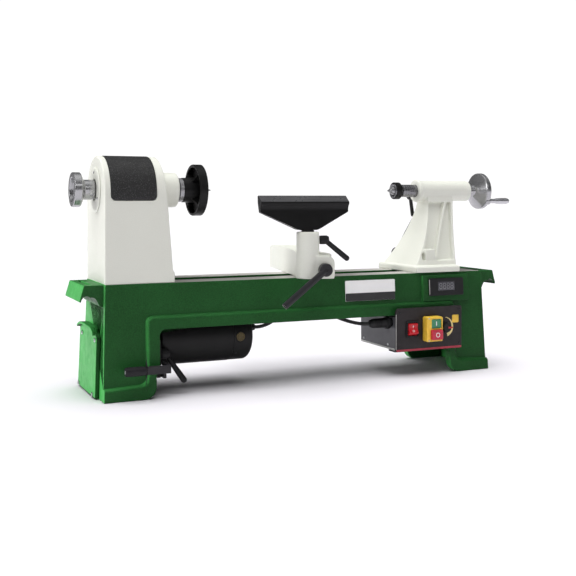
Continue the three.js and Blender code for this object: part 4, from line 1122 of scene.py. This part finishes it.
def switches():
    """The rocker switch, the start and stop switch, the speed knob and the power inlet."""
    front = panel.front
    frame_piece = prism("rocker_frame_fine", "Y", front - 3, front - GAP, rounded(606.5, 636, 78, 112, 2.5))
    cut(frame_piece, block("hole", 610, 632.5, -40, 0, 82, 108))
    stand_in(soften(frame_piece, 0.7, 3, 40), "rocker_frame", moulded)
    turn = Matrix.Translation((0, -22.5, 95)) @ Matrix.Rotation(math.radians(-10), 4, "X")
    notch = 43.54
    section = arc(0, 0, 12.4, 180 + notch, 540 - notch, 40) + [(-6.5, 0)]
    rocker = soften(prism("rocker_button_fine", "X", 610.5, 632, section, turn), 0.5, 2, 40)
    stand_in(rocker, "rocker_button", red)
    for name, side, points in (("rocker_mark_on", 1, rounded(-0.5, 0.5, -2.6, 2.6, 0.4)),
                               ("rocker_mark_off", -1, arc(0, 0, 2.4, 0, 348, 28))):
        spot = turn @ Vector((621.2, -7.8, 4.27 * side))
        out = turn.to_3x3() @ Vector((0, -0.96, -0.28 * side))
        place = facing(*spot, out)
        mark = prism(name, "X", -0.3, 0.1, points, place)
        if side < 0:
            cut(mark, rod("middle", -1, 1, 1.6, (0, 0), segments=32, place=place))
        trim(mark, "rocker_button", white, weighted=False)
    body = prism("switch_housing_fine", "Y", switch_front, front - GAP, rounded(646, 684, 69.5, 119.5, 3.5))
    soften(body, 1.6, 4, 40)
    cut(body, prism("start pocket", "Y", switch_front - 5, -28, rounded(657, 680.6, 95.8, 115, 2)),
        prism("stop pocket", "Y", switch_front - 5, -28, rounded(654.5, 681.4, 73, 93.8, 2)))
    stand_in(soften(body, 0.4, 2, 50), "switch_housing", yellow)
    start = soften(prism("start_button_fine", "Y", switch_front + 1, -32.5,
                         rounded(657.4, 680.2, 96.2, 114.6, 2)),
                   1.0, 4, 40)
    stand_in(start, "start_button", go_green)
    stop = soften(prism("stop_button_fine", "Y", switch_front - 6, -33,
                        rounded(654.9, 681, 73.4, 93.4, 2.2)),
                  1.8, 5, 40)
    stand_in(stop, "stop_button", stop_red)
    bar_mark = prism("start_mark", "Y", switch_front + 0.85, switch_front + 1.2,
                     rounded(667.8, 669.8, 101, 110, 0.6))
    trim(bar_mark, "start_button", white, weighted=False)
    ring_mark = rod("stop_mark", switch_front - 6.15, switch_front - 5.8, 4.8, (668, 83.4), "Y")
    cut(ring_mark, rod("middle", switch_front - 8, switch_front - 4, 3.4, (668, 83.4), "Y"))
    trim(ring_mark, "stop_button", white, weighted=False)
    for i, z in enumerate((72.2, 117.2)):
        place = facing(650.5, switch_front, z, (0, -1, 0))
        screw = screw_head(f"switch_screw_{i + 1}", place, 1.5, 0.7, "slot")
        trim(screw, "bed", fastener)
    made = turned("knob",
                  [(-36, 0), (-36, 9.2), (front - 5, 11), (front - GAP, 11), (front - GAP, 4), (-12, 4),
                           (-12, 0)], (knob.x, knob.z), "Y", 0.9)
    flutes = []
    for k in range(24):
        a = 2 * math.pi * k / 24
        flutes.append(rod("flute", -37, front - 5.5, 0.7,
                          (knob.x + 10.6 * math.cos(a), knob.z + 10.6 * math.sin(a)), "Y", segments=8))
    cut(made, *flutes)
    stand_in(made, "speed_knob", moulded, angle=40)
    pointer = soften(block("knob_pointer", knob.x + 0.5, knob.x + 11.2, -37.4, -35.6, knob.z - 1.6,
                           knob.z + 1.6),
                     0.4, 2)
    trim(pointer, "speed_knob", red)
    inlet = soften(prism("inlet", "Y", 113, 127, rounded(612.3, 639.7, 70.3, 93.7, 2)), 0.6, 2, 40)
    cut(inlet, prism("well", "Y", 118, 130, rounded(616, 636, 75, 89, 2)))
    for x in (621, 631):
        join(inlet, block("pin", x - 1, x + 1, 117, 125, 79.5, 83.5))
    stand_in(inlet, "power_inlet", moulded)


def on_front(name, x0, x1, z0, z1, y0, y1, radius):
    """A rounded plate in the plane of the bed's front."""
    return prism(name, "Y", y0, y1, rounded(x0, x1, z0 - bed.top, z1 - bed.top, radius), FRONT_FACE)


def front_plates():
    """The blank nameplate and the speed display, on the bed's leaning front."""
    plate = soften(on_front("nameplate_fine", 480, 594, 155, 196, -1.6, -GAP, 1.8), 0.4, 2, 40)
    stand_in(plate, "nameplate", label_white)
    trim(on_front("nameplate_band", 480.2, 593.8, 155.2, 170.8, -1.75, -1.5, 1.6), "bed",
         label_dark, weighted=False)
    bezel = soften(on_front("bezel", 671, 756, 158, 194, -9, -6.4, 2.5), 1.0, 3, 40)
    cut(join(bezel, on_front("body", 676, 751, 163.5, 188.5, -7, 11, 1)),
        on_front("window hole", 693, 735, 168, 187, -12, -5, 1))
    stand_in(bezel, "display_housing", moulded)
    # A painted highlight: a pale strip down the display bezel's left edge.
    trim(on_front("display_edge", 671.6, 672.9, 161, 191.5, -9.12, -8.6, 0.5), "bed", pale_edge_highlight,
         weighted=False)
    stand_in(soften(on_front("display_window_fine", 693.3, 734.7, 168.3, 186.7, -8, -5.3, 1), 0.3, 2, 40),
             "display_window", window)
    segments = []
    for i in range(4):
        x, z, w, h = 697.5 + 9.2 * i, 172.2, 5.6, 11
        for x0, x1, z0, z1 in ((x, x + w, z - 0.45, z + 0.45),
                               (x, x + w, z + h / 2 - 0.45, z + h / 2 + 0.45),
                               (x, x + w, z + h - 0.45, z + h + 0.45),
                               (x - 0.45, x + 0.45, z + 0.8, z + h / 2 - 0.8),
                               (x - 0.45, x + 0.45, z + h / 2 + 0.8, z + h - 0.8),
                               (x + w - 0.45, x + w + 0.45, z + 0.8, z + h / 2 - 0.8),
                               (x + w - 0.45, x + w + 0.45, z + h / 2 + 0.8, z + h - 0.8)):
            segments.append(on_front("segment", x0, x1, z0, z1, -8.15, -7.9, 0.3))
    trim(merged("display_digits", *segments), "bed", digit, weighted=False)


control_box()
control_panel()
switches()
front_plates()


# ---- tool rest and its base ----
def in_banjo(x, y):
    """A point of the bed's frame in the turned frame of the banjo."""
    dx, dy = x - banjo.x, y - axis.y
    cosine, sine = math.cos(banjo.swivel), math.sin(banjo.swivel)
    return dx * cosine + dy * sine, dy * cosine - dx * sine


POST_X, POST_Y = in_banjo(post.x, post.y)


def banjo_casting():
    """The arm that slides and swings on the bed, with its post holder and the boss of its lock."""
    left, right, rear, arm_front, foot = banjo.left, banjo.right, banjo.rear, banjo.front, bed.top + GAP
    side = outline([(arm_front - 20, foot), (rear, foot), (rear - 2, 236), (rear - 10, 252, rear - 32, 256),
                    (60, 262, -30, 258), (arm_front - 20, 252)], 14)
    plan = outline([(left - 9, arm_front - 18), (right + 11, arm_front - 18), (right + 11, arm_front),
                    (right, arm_front + 26), (right, rear - 20), (right, rear, 0, rear),
                    (left, rear, left, rear - 20), (left, arm_front + 30)], 14)
    arm = overlap(prism("arm", "X", -60, 60, side, BANJO), prism("plan", "Z", foot - 1, 300, plan, BANJO))
    pillar = turned("pillar", [(foot, 0), (foot, 22), (296, 22), (296, 0)], (POST_X, POST_Y), "Z", 2.5,
                    place=BANJO)
    cheek = prism("cheek", "Y", POST_Y - 8, POST_Y + 14,
                  [(POST_X, foot), (POST_X + 21.5, foot)] + arc(POST_X + 14.5, 286, 7, 0, 90, 8)
                  + [(POST_X, 293)], BANJO)
    boss = prism("boss", "Y", eccentric.front, arm_front + 4,
                 [(0, foot), (36.5, foot), (38, 212)] + arc(23.5, 236, 14.5, 0, 90, 10) + [(0, 250.5)],
                 BANJO)
    made = cast(join(arm, pillar, cheek, boss), 1.3, 6, 0.3)
    below = block("floor", -80, 80, -200, 260, foot - 20, foot, BANJO)
    tunnel = block("tunnel", -14, 14, -72, rear - 22, foot - 5, 226.3, BANJO)
    slot = prism("slot", "Z", foot - 5, 232, rounded(-7, 7, -66, rear - 28, 6.9), BANJO)
    bore = rod("bore", post.bottom - 2, 305, post.radius + GAP, (POST_X, POST_Y), "Z", place=BANJO)
    shaft = rod("shaft", eccentric.front - 5, -70, 8.3, (eccentric.x, eccentric.z), "Y", place=BANJO)
    lever = rod("lever", POST_X + 5, POST_X + 30, 5.3, (POST_Y, 280), place=BANJO)
    cut(made, below, tunnel, slot, bore, shaft, lever)
    stand_in(made, "banjo_casting", cream, angle=50, weighted=False)


def round_bar(name, start, end, radius, place):
    """A straight lever bar with a hollow cap pressed on its far end."""
    frame_of_bar = place @ aim(start, end)
    length = (Vector(end) - Vector(start)).length
    return turned(name, [(0, 0), (0, radius), (length - 9, radius), (length - 8.4, radius),
                         (length, radius), (length, radius * 0.72), (length - 5, radius * 0.66),
                         (length - 5, 0)],
                  (0, 0), ease=0.8, segments=48, place=frame_of_bar), frame_of_bar, length


def lever_ring(name, length, place, body):
    """A pale ring inside the hollow end of a lever's bar."""
    inner, outer = length - 4.6, length + 0.1
    ring = turned(name, [(inner, 4.5), (inner, 5), (outer, 5.6), (outer, 4.7), (inner, 4.5)], (0, 0),
                  ease=0.2, segments=48, place=place)
    trim(ring, body, pale_edge_highlight)


def banjo_lock_lever():
    x, z, y = eccentric.x, eccentric.z, eccentric.front
    hub = turned("hub", [(y - 18, 0), (y - 18, 10.4), (y - 15.5, 12.6), (y - GAP, 12.6), (y - GAP, 0)],
                 (x, z), "Y", 1.2, place=BANJO)
    arm, bar_place, length = round_bar("arm", (x, y - 13, z), (x - 84, y - 27, z - 66), 6.4, BANJO)
    shaft = rod("shaft", y - 2, -76, 8, (x, z), "Y", place=BANJO)
    join(hub, arm, shaft)
    cut(hub, rod("centre", y - 20, y - 16.8, 4, (x, z), "Y", place=BANJO))
    stand_in(hub, "banjo_lock_lever", lever_black, angle=40)
    lever_ring("banjo_lever_ring", length, bar_place, "banjo_lock_lever")


def rest_clamp_lever():
    left = POST_X + 22.3
    points = [(left, POST_Y, 280), (left + 19, POST_Y, 280), (left + 55, POST_Y - 2, 244)]
    start, end, tip = ((BANJO @ Vector(p)) for p in points)
    stud = rod("stud", POST_X + 13.2, left + 4, 5, (POST_Y, 280), place=BANJO)
    clamp_lever("rest_clamp_lever", start, end, 8.5, tip, 4.9, 5.4, stud, moulded, "rest_clamp_lever")


def tool_rest():
    """The post and the rest on it, whose faces along the top that look up and forward are a paler black."""
    post_piece = turned("rest_post_fine",
                        [(post.bottom, 0), (post.bottom, post.radius), (post.top, post.radius),
                                           (post.top, 0)], (post.x, post.y), "Z", 1.0)
    stand_in(post_piece, "rest_post", post_steel)
    blade = outline([(289, 333), (362, 301.6), (368, 299, 374, 299), (400, 299), (406, 299, 412, 302),
                     (475, 334), (476, 365.5), (288.5, 365.5)], 6)
    section = outline([(-31, 299), (-11, 299), (-14, 334), (-9, 352), (-9, 364), (-10, 365.5, -12, 365.5),
                       (-14, 365), (-28, 354), (-30, 351, -28, 348), (-24, 344, -25, 336)], 8)
    made = overlap(prism("bar", "X", 280, 490, section), prism("blade", "Y", -60, 20, blade))
    soften(made, 1.2, 3, 26)
    stand_in(made, "tool_rest", black, paler_black)
    # Faces near the top that look up and towards the front take the paler black.
    for face in made.data.polygons:
        middle = (face.center - ORIGIN) / MM
        if face.normal.z > 0.35 and face.normal.y < -0.2 and middle.z > 354 and face.area > 1e-6:
            face.material_index = 1


def clamp_hardware(name, x, half, bolt_top, washer):
    top = bed.top - bed.deck - GAP
    plate = block("plate", x - half, x + half, 40, 110, top - 9, top)
    cut(plate, rod("hole", top - 12, top + 3, 6.3, (x, axis.y), "Z"))
    stand_in(soften(plate, 0.9, 3, 40), name + "_clamp_plate", plain_steel)
    nut_top = top - 9 - GAP
    bolt = prism("nut", "Z", nut_top - 9, nut_top, arc(x, axis.y, 11, 30, 330, 5))
    overlap(bolt, turned("round", [(nut_top - 9.5, 0), (nut_top - 9, 9.4), (nut_top - 7.6, 11.2),
                                   (nut_top - 1.2, 11.2), (nut_top + 0.2, 9.4), (nut_top + 0.2, 0)],
                         (x, axis.y), "Z", 0))
    thread = [(nut_top - 13.5, 0), (nut_top - 13.5, 5.2)]
    pitch = 1.75
    turns = int((bolt_top - 1 - nut_top + 12.5) / pitch)
    for i in range(turns):
        z = nut_top - 12.5 + i * pitch
        thread += [(z, 5.35), (z + pitch / 2, 6)]
    thread += [(bolt_top - 0.4, 5.4), (bolt_top - 0.4, 0)]
    join(bolt, turned("stud", thread, (x, axis.y), "Z", 0, 40), *washer)
    stand_in(bolt, name + "_clamp_bolt", fastener, angle=30)


banjo_casting()
banjo_lock_lever()
rest_clamp_lever()
tool_rest()
clamp_hardware("banjo", banjo.x, 24, 226, [rod("head", 218, 226, 10, (banjo.x, axis.y), "Z", 0.8)])
clamp_hardware("tailstock", tail_lock.x, 28, 222, [])


# ---- tailstock ----
def column(name, inset=0):
    """The tailstock's column, leaning in towards the barrel. An inset thins it from both faces only."""
    rings = []
    for i in range(25):
        t = i / 24
        flank, face = 1 - (1 - t) ** 1.8, 1 - (1 - t) ** 1.4
        x0, x1 = 651 + 59 * flank - 10 * inset, 751 + 24 * t + 10 * inset
        z = tail.plate_top - 1 + 145 * t
        half = 67 - 43 * face - 5 * t ** 4 - inset
        y0, y1 = axis.y - half, axis.y + half
        rings.append([(x, y, z) for x, y in ((x0, y0), (x1, y0), (x1, y1), (x0, y1))])
    return loft(name, rings)


def tailstock_casting():
    """A base plate, a column with a pocket on each face, and the barrel."""
    foot, top, y, z = bed.top + GAP, tail.plate_top, axis.y, axis.z
    left, right = tail.left, tail.right
    low = [(left, -4), (right, -4), (right, 154), (left, 154)]
    high = [(left + 3, 0), (right - 1, 0), (right - 1, 150), (left + 3, 150)]
    base = loft("base", [[(*p, foot) for p in low], [(*p, top - 3) for p in low],
                         [(*p, top) for p in high]])
    pocket = prism("pocket", "Y", -20, 170, outline([
        (671, 230), (746, 230), (758, 290, 767, 352), (713, 352), (705, 322, 697, 292),
        (688, 258, 671, 242)], 14))
    upright = cut(column("column"), cut(pocket, column("core", 10)))
    rib = overlap(column("rib"),
                  prism("rib shape", "Y", -20, 75, [(699, 226), (705, 226), (757, 352), (751, 352)]))
    barrel = turned("barrel", [
        (tail.barrel_left, 0), (tail.barrel_left, 22.5), (tail.barrel_left + 2, 24.5),
        (tail.barrel_left + 7, 24.5),
        (tail.barrel_left + 9, 22), (tail.barrel_right, 22), (tail.barrel_right, 0)], SPINDLE, ease=1.2)
    made = join(base, upright, rib, block("boss", 678, 702, 13, 60, 227, 253), barrel)
    cast(made, 1.25, 4, 0.3)
    cut(made, block("floor", 560, 900, -60, 260, foot - 30, foot),
        block("tunnel", 675, 722, 46, 104, foot - 5, 226),
        rod("bore", tail.barrel_left - 5, quill.bore_end, quill.radius + GAP, SPINDLE),
        rod("screw bore", quill.bore_end - 5, tail.barrel_right + 5, 8.3, SPINDLE),
        rod("lock bore", 28, 160, 8.3, (tail_lock.x, tail_lock.z), "Y"),
        rod("quill lock bore", 80, 110, 4.3, (quill_lock.x, quill_lock.z), "Y"))
    stand_in(made, "tailstock_casting", cream, angle=50, weighted=False)


def tail_lock_lever():
    x, z = tail_lock.x, tail_lock.z
    hub = turned("hub", [(152.3, 0), (152.3, 12.6), (167.5, 12.6), (170, 10.4), (170, 0)], (x, z), "Y", 1.2)
    arm, bar_place, length = round_bar("arm", (x, 164, z), (x + 60, 182, z + 78), 6.4, IDENTITY)
    join(hub, rod("shaft", 30, 155, 8, (x, z), "Y"), arm)
    stand_in(hub, "tailstock_lock_lever", lever_black, angle=40)
    lever_ring("tail_lever_ring", length, bar_place, "tailstock_lock_lever")


def quill_and_centre():
    x = quill.left
    made = turned("tailstock_quill_fine", [
        (x, 9), (x + 1, 12.8), (x + 2, quill.radius), (quill.right, quill.radius), (quill.right, 6.6),
        (x + 50, 6.6), (x + 38, 7.9), (x, 9)], SPINDLE, ease=0.4)
    keyway = prism("keyway", "Y", axis.y - 14, axis.y - 11.6, rounded(x + 16, quill.right - 6, axis.z - 2.4,
                                                                      axis.z + 2.4, 2.3))
    marks = []
    for left in (x + 8, x + 14, x + 20):
        right = left + 0.4
        ring = [(left, 13.1), (left, 14), (right, 14), (right, 13.1), (left, 13.1)]
        marks.append(turned("mark", ring, SPINDLE, ease=0))
    stand_in(cut(made, keyway, *marks), "tailstock_quill", dark_steel)
    screw = [(718, 0), (718, 5)]
    for i in range(28):
        screw += [(719 + 3 * i, 5.0), (720.2 + 3 * i, 6.2), (721 + 3 * i, 6.2)]
    screw += [(804, 6.2), (804, 10), (808.5, 10), (808.5, 8), (824, 8), (824, 6.2), (853, 6.2), (853, 0)]
    stand_in(turned("quill_screw_fine", screw, SPINDLE, ease=0.2, segments=64), "quill_screw", steel)
    body = turned("live_centre_body_fine", [
        (636, 9.6), (634.5, 14), (637, 15), (637, 18), (649, 18), (651, 13), (x - GAP, 12), (x - GAP, 8.6),
        (x + 34, 7.6), (x + 34, 0), (645, 0), (645, 9.6), (636, 9.6)], SPINDLE, ease=0.8)
    stand_in(body, "live_centre_body", dark_steel, black)
    for face in body.data.polygons:
        middle = (face.center - ORIGIN) / MM
        radius = math.hypot(middle.y - axis.y, middle.z - axis.z)
        if radius > 14.9 and 636.5 < middle.x < 651:
            face.material_index = 1
    stand_in(turned("live_centre_point_fine", [(621, 0), (632, 7.5), (635, 9.2), (644.5, 9.2), (644.5, 0)],
                    SPINDLE, ease=0.5), "live_centre_point", steel)


def tail_wheel():
    """The dished handwheel and its crank."""
    x = wheel.left
    made = turned("wheel", [
        (x, 6.6), (x, 11.5), (838, 13), (851, 36.5), (853, 39.5), (862, 39.5), (863, 38.5), (863, 35.5),
        (857, 34.5), (851, 15), (855, 12), (855, 6.6), (x, 6.6)], SPINDLE, ease=1.6, segments=128)
    centre = (wheel.crank_y, wheel.crank_z)
    join(made, rod("boss", 853, 864.5, 8, centre, ease=0.8))
    cut(made, rod("pin hole", 858, 867, 4.3, centre))
    stand_in(made, "tail_handwheel", chrome, angle=40)
    stand_in(turned("crank_pin_fine",
                    [(858.3, 0), (858.3, 4), (914.3, 4), (914.3, 5.2), (916.3, 5.2), (916.3, 0)], centre,
                    ease=0.5, segments=48), "crank_pin", crank_steel)
    stand_in(turned("crank_handle_fine", [
        (865.2, 4.3), (865.2, 5.2), (869, 4.9), (879, 5.0), (885, 6.2), (894, 6.75), (908, 6.8),
        (912.4, 6.4),
        (914, 5.4), (914, 4.3), (865.2, 4.3)], centre, ease=0.8, segments=64), "crank_handle", crank_steel)


def quill_lock_lever():
    x, z = quill_lock.x, quill_lock.z
    clamp_lever("quill_lock_lever", (x, 99.5, z), (x, 114, z), 7.5, (x + 11.7, 117, z - 40), 3.9, 4.3,
                rod("stud", 86, 100, 4, (x, z), "Y"), moulded, "quill_lock_lever")


tailstock_casting()
tail_lock_lever()
quill_and_centre()
tail_wheel()
quill_lock_lever()

# ---- hidden pieces that keep their CAD shape ----
for node, material in (("speed_sensor", moulded), ("speed_controller", aluminium)):
    made = nodes[node]
    coat(made, material)
    for kind, settings in (("WELD", {"merge_threshold": 1e-6}),
                           ("DECIMATE", {"decimate_type": "DISSOLVE", "angle_limit": math.radians(1)}),
                           ("BEVEL", {"width": 0.8 * MM, "segments": 3, "limit_method": "ANGLE"})):
        step = made.modifiers.new(kind.lower(), kind)
        for key, value in settings.items():
            setattr(step, key, value)

# ---- floor, backdrop and light ----
floor_finish = Surface("pale studio floor", (0.84, 0.82, 0.86), 0.85, specular_ior_level=0.0)
floor_finish.vary(floor_finish.noise(3), 0.99, 1.01)
floor_mesh = bpy.data.meshes.new("studio_floor")
SPAN, SUNK = 14, -0.0005
floor_corners = [(-SPAN, -SPAN, SUNK), (SPAN, -SPAN, SUNK), (SPAN, SPAN, SUNK), (-SPAN, SPAN, SUNK)]
floor_mesh.from_pydata(floor_corners, [], [(0, 1, 2, 3)])
floor_mesh.materials.append(floor_finish.material)
floor = bpy.data.objects.new("studio_floor", floor_mesh)
scene.collection.objects.link(floor)

world = bpy.data.worlds.new("studio")
scene.world = world
world.use_nodes = True
sky = world.node_tree
background = sky.nodes["Background"]
background.inputs["Strength"].default_value = 1.0
# A studio that is bright near the horizon, dark above it, and pale again overhead.
direction = sky.nodes.new("ShaderNodeTexCoord")
parts = sky.nodes.new("ShaderNodeSeparateXYZ")
bands = sky.nodes.new("ShaderNodeValToRGB")
for place, tone in ((0.0, 0.20), (0.10, 0.34), (0.24, 0.06), (0.55, 0.03), (0.8, 0.20), (1.0, 0.20)):
    if place in (0.0, 1.0):
        band = bands.color_ramp.elements[int(place)]
    else:
        band = bands.color_ramp.elements.new(place)
    band.color = (tone, tone, tone * 1.02, 1)
# The camera sees plain white behind the lathe instead.
seen = sky.nodes.new("ShaderNodeBackground")
seen.inputs["Color"].default_value = (1, 1, 1, 1)
seen.inputs["Strength"].default_value = 1.05
paths = sky.nodes.new("ShaderNodeLightPath")
either = sky.nodes.new("ShaderNodeMixShader")
for output, socket in ((direction.outputs["Generated"], parts.inputs[0]),
                       (parts.outputs["Z"], bands.inputs[0]),
                       (bands.outputs[0], background.inputs["Color"]),
                       (paths.outputs["Is Camera Ray"], either.inputs[0]),
                       (background.outputs[0], either.inputs[1]), (seen.outputs[0], either.inputs[2]),
                       (either.outputs[0], sky.nodes["World Output"].inputs["Surface"])):
    sky.links.new(output, socket)
scene.view_settings.view_transform = "Standard"


def light(name, kind, place, strength, **settings):
    """A light that points at the middle of the lathe."""
    data = bpy.data.lights.new(name, kind)
    data.energy = strength
    for key, value in settings.items():
        setattr(data, key, value)
    made = bpy.data.objects.new(name, data)
    scene.collection.objects.link(made)
    made.location = place
    made.rotation_euler = (Vector((0, 0, 0.2)) - Vector(place)).to_track_quat("-Z", "Y").to_euler()
    return made


top_key = light("top_key", "SUN", (-0.06, 0.0, 1.2), 3.3, angle=math.radians(75))
left_key = light("left_key", "SUN", (-1.0, 0.34, 0.50), 1.7, angle=math.radians(42))
bed_key = light("bed_key", "SUN", (-1.0, 0.16, 0.55), 20, angle=math.radians(40))
for key in (top_key, left_key, bed_key):
    key.visible_glossy = False
left_softbox = light("left_softbox", "AREA", (-2.4, -0.6, 1.5), 14, shape="RECTANGLE", size=0.5, size_y=1.6)
front_softbox = light("front_softbox", "AREA", (0.6, -2.6, 2.0), 6, shape="RECTANGLE", size=2.2, size_y=0.5)
for softbox in (left_softbox, front_softbox):
    softbox.visible_diffuse = False

# The left key stays off the floor, and the bed's key lights the bed's enamel alone.
unlit = bpy.data.collections.new("unlit_by_left_key")
unlit.objects.link(floor)
unlit.collection_objects[0].light_linking.link_state = "EXCLUDE"
left_key.light_linking.receiver_collection = unlit
enamelled = bpy.data.collections.new("lit_by_bed_key")
for name in ("bed_casting_fine", "end_cover_fine"):
    enamelled.objects.link(bpy.data.objects[name])
bed_key.light_linking.receiver_collection = enamelled
